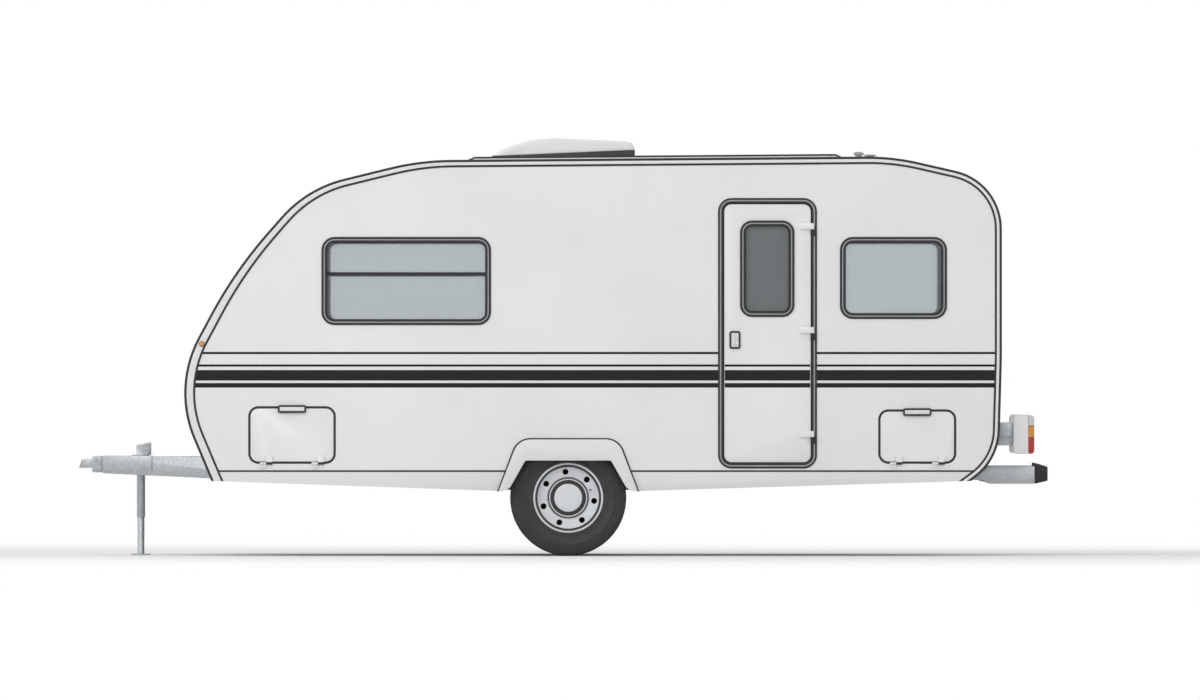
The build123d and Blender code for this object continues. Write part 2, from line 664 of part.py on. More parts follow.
# Side skirts ahead of and behind the wheel arches
SKIRT_SETBACK = 4.0
skirt_plane = Plane.XZ.offset(HALF_WIDTH - SKIRT_THICKNESS)
skirt_band = [
    (KNEE_X, WALL_BOTTOM_Z),
    (REAR_FACE_X, WALL_BOTTOM_Z),
    (REAR_FACE_X, SILL_Z),
    (HEEL_X, SILL_Z),
    (AXLE_X + ARCH_HALF, SKIRT_LOW_Z),
    (AXLE_X - ARCH_HALF, SKIRT_LOW_Z),
    (FOOT_X, SILL_Z),
    (KNEE_X, SILL_Z),
]
with BuildPart() as side_skirts:
    with BuildSketch(skirt_plane):
        with BuildLine():
            Polyline(*skirt_band, close=True)
        make_face()
        with BuildSketch(mode=Mode.INTERSECT):
            add(body_face(SKIRT_SETBACK))
            add(block_face(-BEYOND, BEYOND, 0, SILL_Z))
        add(arch_opening(ARCH_LIP), mode=Mode.SUBTRACT)
    extrude(amount=SKIRT_THICKNESS)
    mirror(about=Plane.XZ)
finish(side_skirts, "side_skirts")

# Wheel arch mouldings: a broad face on the wall and a lip that lines the opening
arch_points = [(AXLE_X - along, z) for _, along, z, _ in ARCH_OUTER]
arch_points += [(AXLE_X + along, z) for _, along, z, _ in reversed(ARCH_OUTER)]
arch_radii = [radius for _, _, _, radius in ARCH_OUTER]
arch_radii += reversed(arch_radii)
with BuildPart() as wheel_arches:
    with BuildSketch(WALL_FACE):
        add(outline_face(arch_points, arch_radii))
        add(arch_opening(0.0), mode=Mode.SUBTRACT)
    extrude(amount=ARCH_PROUD)
    with BuildSketch(LINING_FACE):
        add(arch_opening(ARCH_LIP))
        add(arch_opening(0.0), mode=Mode.SUBTRACT)
    extrude(amount=WALL)
    mirror(about=Plane.XZ)
finish(wheel_arches, "wheel_arches")

# Door frame with its inner stop, and frames behind the hatches
with BuildPart() as door_frame:
    extrude(ring_face(DOOR_OUTLINE, WALL_FACE, 0.0, -DOOR_FRAME_WIDTH), amount=DOOR_FRAME_PROUD)
    extrude(ring_face(DOOR_OUTLINE, WALL_FACE, -SEAL_LAP, -DOOR_FRAME_WIDTH), amount=-WALL)
    with BuildSketch(LINING_FACE):
        add(ring_face(DOOR_OUTLINE, Plane.XY, 0.0, -DOOR_FRAME_WIDTH - DOOR_STOP))
        add(block_face(DOOR_OUTLINE.x0, DOOR_OUTLINE.x1, 0, FLOOR_TOP_Z), mode=Mode.SUBTRACT)
    extrude(amount=-DOOR_FRAME_PROUD)
finish(door_frame, "door_frame")

with BuildPart() as hatch_frames:
    for hatch in HATCHES.values():
        extrude(ring_face(hatch, LINING_FACE, HATCH_FRAME_LAP, -DOOR_STOP), amount=-DOOR_FRAME_PROUD)
finish(hatch_frames, "hatch_frames")

# Door hinges: the axis stands in front of the frame, beside the rear edge of the leaf
HINGE_X = DOOR_OUTLINE.x1 - DOOR_FRAME_WIDTH + KNUCKLE_RADIUS
KNUCKLE_GAP = 1.0
HINGE_OUT = HALF_WIDTH + DOOR_FRAME_PROUD + KNUCKLE_RADIUS + KNUCKLE_GAP
HINGE_Z = (760.0, 1425.0, 2090.0)
HINGE_STRAP = 90.0
HINGE_PLATE = 6.0
HINGE_LUG = 8.0
HINGE_MARGIN = 4.0
# Hatch hinges: the axis runs along the wall just below the hatch
HATCH_HINGE_OUT = HALF_WIDTH + KNUCKLE_RADIUS + KNUCKLE_GAP
HATCH_HINGE_DROP = 2.5
HATCH_HINGE_INSET = 110.0
HATCH_STRAP = 50.0


def hatch_hinges(hatch):
    """Middles of the two hinges of a hatch."""
    return (hatch.x0 + HATCH_HINGE_INSET, hatch.x1 - HATCH_HINGE_INSET)


with BuildPart() as hinge_brackets:
    for z in HINGE_Z:
        with BuildSketch(Plane.XY.offset(z - KNUCKLE_LENGTH)):
            with Locations((HINGE_X, -HINGE_OUT)):
                Circle(KNUCKLE_RADIUS)
            with Locations((HINGE_X, -HALF_WIDTH - DOOR_FRAME_PROUD)):
                Rectangle(
                    DOOR_FRAME_WIDTH - KNUCKLE_RADIUS - HINGE_MARGIN, HINGE_LUG, align=(Align.MIN, Align.MAX)
                )
        extrude(amount=KNUCKLE_LENGTH)
        with BuildSketch(Plane.XY.offset(z)):
            with Locations((HINGE_X, -HINGE_OUT)):
                Circle(PIN_RADIUS)
        extrude(amount=KNUCKLE_LENGTH)
    for hatch in HATCHES.values():
        hinge_z = hatch.z0 - HATCH_HINGE_DROP
        for x in hatch_hinges(hatch):
            with BuildSketch(Plane.YZ.offset(x - KNUCKLE_LENGTH)):
                with Locations((-HATCH_HINGE_OUT, hinge_z)):
                    Circle(KNUCKLE_RADIUS)
                with Locations((-HALF_WIDTH, hinge_z - CLEARANCE)):
                    Rectangle(HINGE_LUG, HATCH_STRAP / 2, align=(Align.MAX, Align.MAX))
            extrude(amount=KNUCKLE_LENGTH)
            with BuildSketch(Plane.YZ.offset(x)):
                with Locations((-HATCH_HINGE_OUT, hinge_z)):
                    Circle(PIN_RADIUS)
            extrude(amount=KNUCKLE_LENGTH)
finish(hinge_brackets, "hinge_brackets")

# Door leaf with the moving halves of its hinges
LEAF_INSET = DOOR_FRAME_WIDTH + CLEARANCE
LEAF_BACK = Plane.XZ.offset(INNER_HALF + CLEARANCE)
LEAF = WALL - CLEARANCE
with BuildPart() as door_leaf:
    with BuildSketch(LEAF_BACK):
        add(panel_face(DOOR_OUTLINE, grow=-LEAF_INSET))
        add(panel_face(DOOR_WINDOW, grow=-SEAL_LAP), mode=Mode.SUBTRACT)
    extrude(amount=LEAF)
    for z in HINGE_Z:
        with BuildSketch(Plane.XY.offset(z + KNUCKLE_GAP)):
            with Locations((HINGE_X, -HINGE_OUT)):
                Circle(KNUCKLE_RADIUS)
                Rectangle(HINGE_STRAP, HINGE_PLATE, align=(Align.MAX, Align.MIN))
            with Locations((HINGE_X - HINGE_STRAP, -HALF_WIDTH)):
                Rectangle(
                    HINGE_STRAP - KNUCKLE_RADIUS - 2 * CLEARANCE,
                    HINGE_OUT - HALF_WIDTH,
                    align=(Align.MIN, Align.MAX),
                )
        extrude(amount=KNUCKLE_LENGTH - KNUCKLE_GAP)
        with BuildSketch(Plane.XY.offset(z)):
            with Locations((HINGE_X, -HINGE_OUT)):
                Circle(PIN_RADIUS + PIN_PLAY)
        extrude(amount=2 * KNUCKLE_LENGTH, mode=Mode.SUBTRACT)
finish(door_leaf, "door_leaf")

HANDLE = Panel(1070.0, 1141.0, 1325.0, 1440.0, 12.0)
HANDLE_PLATE = 8.0
GRIP_PROUD = 26.0
GRIP_WIDTH = 18.0
GRIP_RADIUS = 8.0
GRIP_INSET_X = 12.0
GRIP_INSET_Z = 10.0
grip_x = HANDLE.x0 + GRIP_INSET_X
grip = Panel(grip_x, grip_x + GRIP_WIDTH, HANDLE.z0 + GRIP_INSET_Z, HANDLE.z1 - GRIP_INSET_Z, GRIP_RADIUS)
with BuildPart() as door_handle:
    extrude(panel_face(HANDLE, WALL_FACE), amount=HANDLE_PLATE)
    extrude(panel_face(grip, WALL_FACE.offset(HANDLE_PLATE)), amount=GRIP_PROUD - HANDLE_PLATE)
finish(door_handle, "door_handle")

# Hatch panels with the moving halves of their hinges, and latches that lap over the wall above
LATCH_WIDTH = 182.0
LATCH_HEIGHT = 50.0
LATCH_PROUD = 15.0
LATCH_LAP = 12.0
LATCH_RADIUS = 6.0
for name, hatch in HATCHES.items():
    hinge_z = hatch.z0 - HATCH_HINGE_DROP
    with BuildPart() as hatch_panel:
        extrude(panel_face(hatch, LEAF_BACK), amount=LEAF)
        for x in hatch_hinges(hatch):
            with BuildSketch(Plane.YZ.offset(x + KNUCKLE_GAP)):
                with Locations((-HATCH_HINGE_OUT, hinge_z)):
                    Circle(KNUCKLE_RADIUS)
                    Rectangle(
                        HATCH_HINGE_OUT - HALF_WIDTH, HATCH_STRAP, align=(Align.MIN, Align.MIN)
                    )
            extrude(amount=KNUCKLE_LENGTH - KNUCKLE_GAP)
            with BuildSketch(Plane.YZ.offset(x)):
                with Locations((-HATCH_HINGE_OUT, hinge_z)):
                    Circle(PIN_RADIUS + PIN_PLAY)
            extrude(amount=2 * KNUCKLE_LENGTH, mode=Mode.SUBTRACT)
    finish(hatch_panel, f"{name}_hatch")

    latch_top = hatch.z1 + LATCH_LAP
    latch_step = hatch.z1 - 2 * CLEARANCE
    latch_section = [
        (-HALF_WIDTH, latch_step),
        (-HALF_WIDTH, latch_top - LATCH_HEIGHT),
        (-HALF_WIDTH - LATCH_PROUD, latch_top - LATCH_HEIGHT),
        (-HALF_WIDTH - LATCH_PROUD, latch_top),
        (-HALF_WIDTH - CLEARANCE, latch_top),
        (-HALF_WIDTH - CLEARANCE, latch_step),
    ]
    latch_start = Plane.YZ.offset((hatch.x0 + hatch.x1 - LATCH_WIDTH) / 2)
    with BuildPart() as latch:
        extrude(
            outline_face(latch_section, [0, 0, LATCH_RADIUS, LATCH_RADIUS, 0, 0], latch_start),
            amount=LATCH_WIDTH,
        )
    finish(latch, f"{name}_hatch_latch")

# Windows: a seal that grips the wall and a pane held in its groove
PANE_DEPTH = WALL / 2 - PANE / 2
BODY_WINDOWS = ((FRONT_WINDOW, WALL_FACE), (REAR_SIDE_WINDOW, WALL_FACE), (END_WINDOW, REAR_FACE))


def seal_rings(window, face, wall):
    """Bands of a window seal: outer flange, neck and inner flange, each with its depth."""
    inner = face.offset(-wall)
    return (
        (ring_face(window, face, 0.0, -SEAL_WIDTH), SEAL_PROUD),
        (ring_face(window, face, -SEAL_LAP, -SEAL_WIDTH), -wall),
        (ring_face(window, inner, 0.0, -SEAL_WIDTH), -SEAL_PROUD),
    )


def bar_face(bite, plane=Plane.XY):
    """Bar across the front window, narrowed by the bite of the panes."""
    return block_face(
        FRONT_WINDOW.x0 + SEAL_WIDTH / 2,
        FRONT_WINDOW.x1 - SEAL_WIDTH / 2,
        WINDOW_BAR_Z - WINDOW_BAR / 2 + bite,
        WINDOW_BAR_Z + WINDOW_BAR / 2 - bite,
        plane,
    )


with BuildPart() as window_panes:
    for window, face in BODY_WINDOWS:
        pane_plane = face.offset(-PANE_DEPTH)
        with BuildSketch(pane_plane):
            add(panel_face(window, grow=PANE_BITE - SEAL_WIDTH))
            if window is FRONT_WINDOW:
                add(bar_face(PANE_BITE), mode=Mode.SUBTRACT)
        extrude(amount=-PANE)
        if face is WALL_FACE:
            mirror(about=Plane.XZ)
finish(window_panes, "window_panes")

BAR_DEPTH = 9.0
with BuildPart() as window_seals:
    for window, face in BODY_WINDOWS:
        for ring, depth in seal_rings(window, face, WALL):
            extrude(ring, amount=depth)
        if window is FRONT_WINDOW:
            extrude(bar_face(0.0, face.offset(BAR_DEPTH - PANE_DEPTH)), amount=-2 * BAR_DEPTH - PANE)
        if face is WALL_FACE:
            mirror(about=Plane.XZ)
    add(window_panes.part, mode=Mode.SUBTRACT)
finish(window_seals, "window_seals")

with BuildPart() as door_pane:
    extrude(panel_face(DOOR_WINDOW, WALL_FACE.offset(-PANE_DEPTH), PANE_BITE - SEAL_WIDTH), amount=-PANE)
finish(door_pane, "door_pane")

with BuildPart() as door_window_seal:
    for ring, depth in seal_rings(DOOR_WINDOW, WALL_FACE, LEAF):
        extrude(ring, amount=depth)
    add(door_pane.part, mode=Mode.SUBTRACT)
finish(door_window_seal, "door_window_seal")

# Wheels: tyre carcass, full-face steel rim with round vents, hub with brake drum and cap
BEAD_RADIUS = 203.0
CARCASS = 13.0
half_tyre = TYRE_WIDTH / 2
RIM_SHEET = 6.0
SHOULDER = 16.0
FLANGE_HALF = half_tyre - SHOULDER
BEAD_HALF = FLANGE_HALF - RIM_SHEET
BEAD_RISE = 2.0
BULGE = 2.0
BULGE_RADIUS = (RIM_RADIUS + TYRE_RADIUS) / 2
# Half of the tyre section: half width, radius from the axle, corner radius outside and inside
TYRE_HALF = (
    (BEAD_HALF, BEAD_RADIUS, 0.0, 0.0),
    (BEAD_HALF, RIM_RADIUS + BEAD_RISE, 6.0, 14.0),
    (half_tyre + BULGE, BULGE_RADIUS, 60.0, 50.0),
    (half_tyre - SHOULDER, TYRE_RADIUS, 30.0, 20.0),
)


def tyre_loop():
    """Corners and radii of the tyre section: outside from bead to bead, then the lining back."""
    lining = [(half - CARCASS, min(r, TYRE_RADIUS - CARCASS), radius) for half, r, _, radius in TYRE_HALF]
    outside = [(half, r, radius) for half, r, radius, _ in TYRE_HALF]
    loop = [(WHEEL_OUT + half, r, radius) for half, r, radius in outside]
    loop += [(WHEEL_OUT - half, r, radius) for half, r, radius in reversed(outside)]
    loop += [(WHEEL_OUT - half, r, radius) for half, r, radius in lining]
    loop += [(WHEEL_OUT + half, r, radius) for half, r, radius in reversed(lining)]
    return [(out, r) for out, r, _ in loop], [radius for _, _, radius in loop]


# Rim: drop centre between the beads, dished disc with its seat on the hub
DISC_OUT = WHEEL_OUT + 58.0
SEAT_OUT = WHEEL_OUT + 20.0
DISH_RADIUS = 138.0
SEAT_RADIUS = 104.0
PILOT_RADIUS = 45.0
DISH_DRAFT = 2.0
bed_radius = BEAD_RADIUS - RIM_SHEET
drop_radius = BEAD_RADIUS - 3 * RIM_SHEET
# Drop centre from its inner to its outer edge: out from the middle of the tyre, radius
DROP_CENTRE = ((-40.0, bed_radius), (-30.0, drop_radius), (20.0, drop_radius), (30.0, bed_radius))
rim_section = [
    (WHEEL_OUT - FLANGE_HALF, RIM_RADIUS),
    (WHEEL_OUT - FLANGE_HALF, bed_radius),
    *[(WHEEL_OUT + out, radius) for out, radius in DROP_CENTRE],
    (DISC_OUT, bed_radius),
    (DISC_OUT, DISH_RADIUS),
    (SEAT_OUT, SEAT_RADIUS),
    (SEAT_OUT, PILOT_RADIUS),
    (SEAT_OUT + RIM_SHEET, PILOT_RADIUS),
    (SEAT_OUT + RIM_SHEET, SEAT_RADIUS - DISH_DRAFT),
    (DISC_OUT + RIM_SHEET, DISH_RADIUS - DISH_DRAFT),
    (DISC_OUT + RIM_SHEET, bed_radius),
    (WHEEL_OUT + FLANGE_HALF, bed_radius),
    (WHEEL_OUT + FLANGE_HALF, RIM_RADIUS),
    (WHEEL_OUT + BEAD_HALF, RIM_RADIUS),
    (WHEEL_OUT + BEAD_HALF, BEAD_RADIUS),
    (WHEEL_OUT - BEAD_HALF, BEAD_RADIUS),
    (WHEEL_OUT - BEAD_HALF, RIM_RADIUS),
]
VENT_RADIUS = 19.0
VENT_CIRCLE_RADIUS = 167.0
VENT_START_DEG = 96.0

# Hub: brake drum behind the seat, cap in front of it
DRUM_RADIUS = 118.0
DRUM_WIDTH = 62.0
DRUM_TAPER = 12.0
DRUM_GAP = 8.0
DRUM_OUT = ARM_OUT + ARM_THICKNESS + DRUM_GAP
HUB_RADIUS = 90.0
PILOT_PLAY = 0.5
CAP_RADIUS = 96.0
CAP_WALL = 34.0
CAP_REACH = 100.0
CAP_FLAT_RADIUS = 62.0
CAP_OUT = WHEEL_OUT + CAP_REACH
# Hub section: out from the centre plane, radius, corner radius
HUB_SECTION = (
    (DRUM_OUT, STUB_RADIUS + PIN_PLAY, 0.0),
    (DRUM_OUT, DRUM_RADIUS, 6.0),
    (DRUM_OUT + DRUM_WIDTH, DRUM_RADIUS, 8.0),
    (DRUM_OUT + DRUM_WIDTH + DRUM_TAPER, HUB_RADIUS, 0.0),
    (SEAT_OUT, HUB_RADIUS, 0.0),
    (SEAT_OUT, PILOT_RADIUS - PILOT_PLAY, 0.0),
    (SEAT_OUT + RIM_SHEET, PILOT_RADIUS - PILOT_PLAY, 0.0),
    (SEAT_OUT + RIM_SHEET, CAP_RADIUS, 0.0),
    (SEAT_OUT + RIM_SHEET + CAP_WALL, CAP_RADIUS, 20.0),
    (CAP_OUT, CAP_FLAT_RADIUS, 18.0),
    (CAP_OUT, 0.0, 0.0),
    (STUB_END_OUT + CLEARANCE, 0.0, 0.0),
    (STUB_END_OUT + CLEARANCE, STUB_RADIUS + PIN_PLAY, 0.0),
)
hub_points = [(out, radius) for out, radius, _ in HUB_SECTION]
hub_radii = [corner for _, _, corner in HUB_SECTION]
for name, side in SIDES:
    with BuildPart() as tyre:
        revolve(wheel_section(*tyre_loop(), side), axis=WHEEL_AXIS)
    finish(tyre, f"tyre_{name}")

    with BuildPart() as rim:
        revolve(wheel_section(rim_section, [0] * len(rim_section), side), axis=WHEEL_AXIS)
        with BuildSketch(Plane.XZ.offset(-side * SEAT_OUT)):
            with Locations((AXLE_X, TYRE_RADIUS)):
                with PolarLocations(VENT_CIRCLE_RADIUS, VENT_HOLES, start_angle=VENT_START_DEG):
                    Circle(VENT_RADIUS)
        extrude(amount=-side * 2 * (DISC_OUT - SEAT_OUT), mode=Mode.SUBTRACT)
    finish(rim, f"rim_{name}")

    with BuildPart() as hub:
        revolve(wheel_section(hub_points, hub_radii, side), axis=WHEEL_AXIS)
    finish(hub, f"hub_{name}")

# Roof: raised deck, air conditioner on a wedge base, two vent caps
DECK_X = (-622.0, 1810.0)
DECK_HEIGHT = 25.0
DECK_SLOPE = 60.0
DECK_INSET = 405.0
DECK_HALF = HALF_WIDTH - DECK_INSET
DECK_SHEET = 4.0


def deck_z(x):
    """Height of the deck top at a station."""
    return roof_z(x) + DECK_HEIGHT


with BuildPart() as roof_deck:
    with BuildSketch(Plane.XZ.offset(-DECK_HALF)):
        with BuildLine():
            Polyline(
                (DECK_X[0], roof_z(DECK_X[0])),
                (DECK_X[0] + DECK_SLOPE, deck_z(DECK_X[0] + DECK_SLOPE)),
                (DECK_X[1] - DECK_SLOPE, deck_z(DECK_X[1] - DECK_SLOPE)),
                (DECK_X[1], roof_z(DECK_X[1])),
                close=True,
            )
        make_face()
    extrude(amount=2 * DECK_HALF)
    offset(amount=-DECK_SHEET, openings=roof_deck.faces().sort_by(Axis.Z)[0])
finish(roof_deck, "roof_deck")

COOLER_X = (-456.0, 466.0)
COOLER_HALF = 340.0
COOLER_BASE = (8.0, 40.0)
COOLER_HEIGHT = 126.0
cooler_seam = [
    (COOLER_X[0], deck_z(COOLER_X[0]) + COOLER_BASE[0]),
    (COOLER_X[1], deck_z(COOLER_X[1]) + COOLER_BASE[1]),
]
BASE_INSET = 14.0
with BuildPart() as air_conditioner_base:
    with BuildSketch(Plane.XZ.offset(-COOLER_HALF + BASE_INSET)):
        with BuildLine():
            Polyline(
                (COOLER_X[0], deck_z(COOLER_X[0])),
                cooler_seam[0],
                cooler_seam[1],
                (COOLER_X[1], deck_z(COOLER_X[1])),
                close=True,
            )
        make_face()
    extrude(amount=2 * (COOLER_HALF - BASE_INSET))
finish(air_conditioner_base, "air_conditioner_base")

# Top of the shroud: share of its length and height, corner radius
COOLER_TOP = ((0.12, 0.54, 120.0), (0.27, 0.89, 220.0), (0.43, 1.0, 300.0), (0.97, 0.81, 40.0))
SHROUD_EDGE_RADIUS = 24.0
cooler_length = COOLER_X[1] - COOLER_X[0]
cooler_foot_z = deck_z(COOLER_X[0])
cooler_top = [
    (COOLER_X[0] + cooler_length * along, cooler_foot_z + COOLER_HEIGHT * up) for along, up, _ in COOLER_TOP
]
cooler_profile = [cooler_seam[0], *cooler_top, cooler_seam[1]]
cooler_radii = [0.0, *[radius for _, _, radius in COOLER_TOP], 0.0]
with BuildPart() as air_conditioner_shroud:
    extrude(
        outline_face(cooler_profile, cooler_radii, Plane.XZ.offset(-COOLER_HALF)),
        amount=2 * COOLER_HALF,
    )
    side_edges = air_conditioner_shroud.faces().filter_by(Axis.Y).edges()
    fillet(side_edges - side_edges.sort_by(Edge.length)[-2:], SHROUD_EDGE_RADIUS)
finish(air_conditioner_shroud, "air_conditioner_shroud")

# Vent caps on the roof: x, out, radius, height
ROOF_VENTS = ((1902.0, 520.0, 35.0, 42.0), (1976.0, 330.0, 45.0, 26.0))
ROOF_VENT_EDGE = 8.0
with BuildPart() as roof_vents:
    for x, out, radius, height in ROOF_VENTS:
        with BuildSketch(Plane.XY.offset(roof_z(x) + height)):
            with Locations((x, -out)):
                Circle(radius)
        extrude(amount=-2 * height)
    fillet(roof_vents.faces().filter_by(Axis.Z).group_by(Axis.Z)[-1].edges(), ROOF_VENT_EDGE)
    extrude(body_face(0.0, Plane.XZ), amount=HALF_WIDTH, mode=Mode.SUBTRACT)
finish(roof_vents, "roof_vents")

# Front marker lamps on the edge trims
MARKER_X = -2306.0
MARKER_Z = 1357.0
MARKER_RADIUS = 16.0
MARKER_DEPTH = 12.0
with BuildPart() as marker_lamps:
    with BuildSketch(Plane.XZ.offset(HALF_WIDTH + TRIM_PROUD)):
        with Locations((MARKER_X, MARKER_Z)):
            Circle(MARKER_RADIUS)
    extrude(amount=MARKER_DEPTH)
    mirror(about=Plane.XZ)
finish(marker_lamps, "marker_lamps")

# Tail lamps: two stand-off arms on each side carry a tall housing with its lens
LAMP_INSET = 165.0
LAMP_OUT = HALF_WIDTH - LAMP_INSET
LAMP_WIDTH = 150.0
# Lamp box behind the rear face: front, joint of housing and lens, back
LAMP_REACH = (80.0, 178.0, 215.0)
LAMP_X = [REAR_FACE_X + reach for reach in LAMP_REACH]
LAMP_BOX = Panel(LAMP_X[0], LAMP_X[2], 653.0, 902.0, 24.0)
# Arms: bottom, top, width
LAMP_ARMS = ((762.0, 851.0, 70.0), (707.0, 762.0, 46.0))
with BuildPart() as lamp_brackets:
    with BuildSketch(Plane.YZ.offset(LAMP_X[0])):
        for z0, z1, width in LAMP_ARMS:
            with Locations((-LAMP_OUT, (z0 + z1) / 2)):
                Rectangle(width, z1 - z0)
    extrude(amount=REAR_FACE_X - WALL - LAMP_X[0])
    extrude(body_face(0.0, Plane.XZ), amount=HALF_WIDTH, mode=Mode.SUBTRACT)
    mirror(about=Plane.XZ)
finish(lamp_brackets, "lamp_brackets")

# The lamp box is cut at one plane into the housing ahead of it and the lens behind it
for name, keep in (("lamp_housings", Keep.BOTTOM), ("lamp_lenses", Keep.TOP)):
    with BuildPart() as lamp_piece:
        extrude(panel_face(LAMP_BOX, Plane.XZ.offset(LAMP_OUT - LAMP_WIDTH / 2)), amount=LAMP_WIDTH)
        split(bisect_by=Plane.YZ.offset(LAMP_X[1]), keep=keep)
        mirror(about=Plane.XZ)
    finish(lamp_piece, name)

# Rear bumper: two arms that carry on the rails, joined by a tube, with tapered end caps
BUMPER_BOTTOM_Z = 461.0
BUMPER_SHEET = 5.0
BUMPER_TUBE = 60.0
BUMPER_TUBE_SETBACK = 72.0
bumper_tube_x = BUMPER_X[2] - BUMPER_TUBE_SETBACK
bumper_bore = BUMPER_TUBE - 2 * BUMPER_SHEET
bumper_side = [
    (RAIL_REAR_X, SILL_Z + RAIL_LIFT),
    (RAIL_REAR_X, FLOOR_BOTTOM_Z),
    (BUMPER_X[0], FLOOR_BOTTOM_Z),
    (BUMPER_X[1], BUMPER_TOP_Z),
    (BUMPER_X[2], BUMPER_TOP_Z),
    (BUMPER_X[2], BUMPER_BOTTOM_Z),
    (BUMPER_X[1], BUMPER_BOTTOM_Z),
    (BUMPER_X[0], SILL_Z + RAIL_LIFT),
]
BUMPER_MID_Z = (BUMPER_TOP_Z + BUMPER_BOTTOM_Z) / 2
with BuildPart() as rear_bumper:
    with BuildSketch(Plane.XZ.offset(RAIL_INNER_OUT)) as cheek:
        with BuildLine():
            Polyline(*bumper_side, close=True)
        make_face()
    extrude(amount=RAIL_WIDTH)
    with BuildSketch(Plane.XZ.offset(RAIL_INNER_OUT)):
        add(cheek.sketch_local)
        offset(amount=-BUMPER_SHEET, kind=Kind.INTERSECTION)
    extrude(amount=RAIL_WIDTH - BUMPER_SHEET, mode=Mode.SUBTRACT)
    mirror(about=Plane.XZ)
    with BuildSketch(Plane.XZ.offset(-RAIL_INNER_OUT - RAIL_WIDTH + BUMPER_SHEET)):
        with Locations((bumper_tube_x, BUMPER_MID_Z)):
            Rectangle(BUMPER_TUBE, BUMPER_TUBE)
            Rectangle(bumper_bore, bumper_bore, mode=Mode.SUBTRACT)
    extrude(amount=2 * (RAIL_INNER_OUT + RAIL_WIDTH - BUMPER_SHEET))
finish(rear_bumper, "rear_bumper")

BUMPER_CAP_LENGTH = 80.0
BUMPER_CAP_WIDTH = 74.0
BUMPER_CAP_RADII = (4.0, 8.0, 10.0, 10.0)
CAP_LIP = 22.0
CAP_TOP_DROP = 3.0
CAP_BOTTOM_RISE = 19.0
cap_end_x = BUMPER_X[2] + BUMPER_CAP_LENGTH
cap_side = [
    (BUMPER_X[2], BUMPER_BOTTOM_Z),
    (BUMPER_X[2], BUMPER_TOP_Z + CAP_LIP),
    (cap_end_x, BUMPER_TOP_Z - CAP_TOP_DROP),
    (cap_end_x, BUMPER_BOTTOM_Z + CAP_BOTTOM_RISE),
]
with BuildPart() as bumper_caps:
    extrude(
        outline_face(cap_side, BUMPER_CAP_RADII, Plane.XZ.offset(RAIL_OUT - BUMPER_CAP_WIDTH / 2)),
        amount=BUMPER_CAP_WIDTH,
    )
    mirror(about=Plane.XZ)
finish(bumper_caps, "bumper_caps")

# Refrigerator vents on the right wall: louvred plates
FRIDGE_VENTS = (Panel(520.0, 880.0, 900.0, 1080.0, 14.0), Panel(520.0, 880.0, 1560.0, 1740.0, 14.0))
VENT_PLATE = 10.0
LOUVRE_COUNT = 6
LOUVRE_LENGTH = 300.0
LOUVRE_HEIGHT = 12.0
right_face = Plane.XZ.offset(-HALF_WIDTH)
with BuildPart() as fridge_vents:
    for vent in FRIDGE_VENTS:
        with BuildSketch(right_face):
            add(panel_face(vent))
            with Locations(((vent.x0 + vent.x1) / 2, (vent.z0 + vent.z1) / 2)):
                with GridLocations(0, 2 * LOUVRE_HEIGHT, 1, LOUVRE_COUNT):
                    Rectangle(LOUVRE_LENGTH, LOUVRE_HEIGHT, mode=Mode.SUBTRACT)
        extrude(amount=-VENT_PLATE)
finish(fridge_vents, "fridge_vents")

# Inside: bed across the front over a boot
BOARD = 18.0
BED_TOP_Z = 990.0
BED_X = (-2300.0, -850.0)
LINING_GAP = 10.0
bed_half = INNER_HALF - LINING_GAP
with BuildPart() as bed_base:
    with BuildSketch(Plane.XZ.offset(-bed_half)):
        with BuildLine():
            Polyline(
                (BED_X[0], BED_TOP_Z),
                (BED_X[1], BED_TOP_Z),
                (BED_X[1], FLOOR_TOP_Z),
                (BED_X[1] - BOARD, FLOOR_TOP_Z),
                (BED_X[1] - BOARD, BED_TOP_Z - BOARD),
                (BED_X[0], BED_TOP_Z - BOARD),
                close=True,
            )
        make_face()
    extrude(amount=2 * bed_half)
finish(bed_base, "bed_base")

MATTRESS_THICKNESS = 150.0
MATTRESS_END_GAP = 30.0
MATTRESS_SIDE_GAP = 60.0
MATTRESS_RADIUS = 60.0
mattress_size = (BED_X[1] - BED_X[0] - 2 * MATTRESS_END_GAP, 2 * (bed_half - MATTRESS_SIDE_GAP))
with BuildPart() as mattress:
    with BuildSketch(Plane.XY.offset(BED_TOP_Z)):
        with Locations(((BED_X[0] + BED_X[1]) / 2, 0)):
            RectangleRounded(*mattress_size, MATTRESS_RADIUS)
    extrude(amount=MATTRESS_THICKNESS)
finish(mattress, "mattress")


def cabinet(x0, x1, out, z1):
    """Cabinet against the door-side wall, open at its back and below."""
    with BuildPart() as box:
        depth = bed_half - out
        with Locations(((x0 + x1) / 2, -out - depth / 2, FLOOR_TOP_Z)):
            Box(x1 - x0, depth, z1 - FLOOR_TOP_Z, align=(Align.CENTER, Align.CENTER, Align.MIN))
        with Locations(((x0 + x1) / 2, -out - BOARD, FLOOR_TOP_Z)):
            Box(
                x1 - x0 - 2 * BOARD,
                depth,
                z1 - FLOOR_TOP_Z - BOARD,
                align=(Align.CENTER, Align.MAX, Align.MIN),
                mode=Mode.SUBTRACT,
            )
    return box.part


# Cabinets: name, stations, depth from the wall lining, top, side
CABINETS = (
    ("side_cupboard", 510.0, 960.0, 475.0, 1380.0, -1),
    ("wardrobe", -440.0, 500.0, 575.0, 2300.0, -1),
    ("kitchen_unit", -800.0, 900.0, 595.0, 1470.0, 1),
)
for name, x0, x1, depth, z1, side in CABINETS:
    with BuildPart() as unit:
        add(cabinet(x0, x1, INNER_HALF - depth, z1))
        if side > 0:
            mirror(about=Plane.XZ, mode=Mode.REPLACE)
    finish(unit, name)

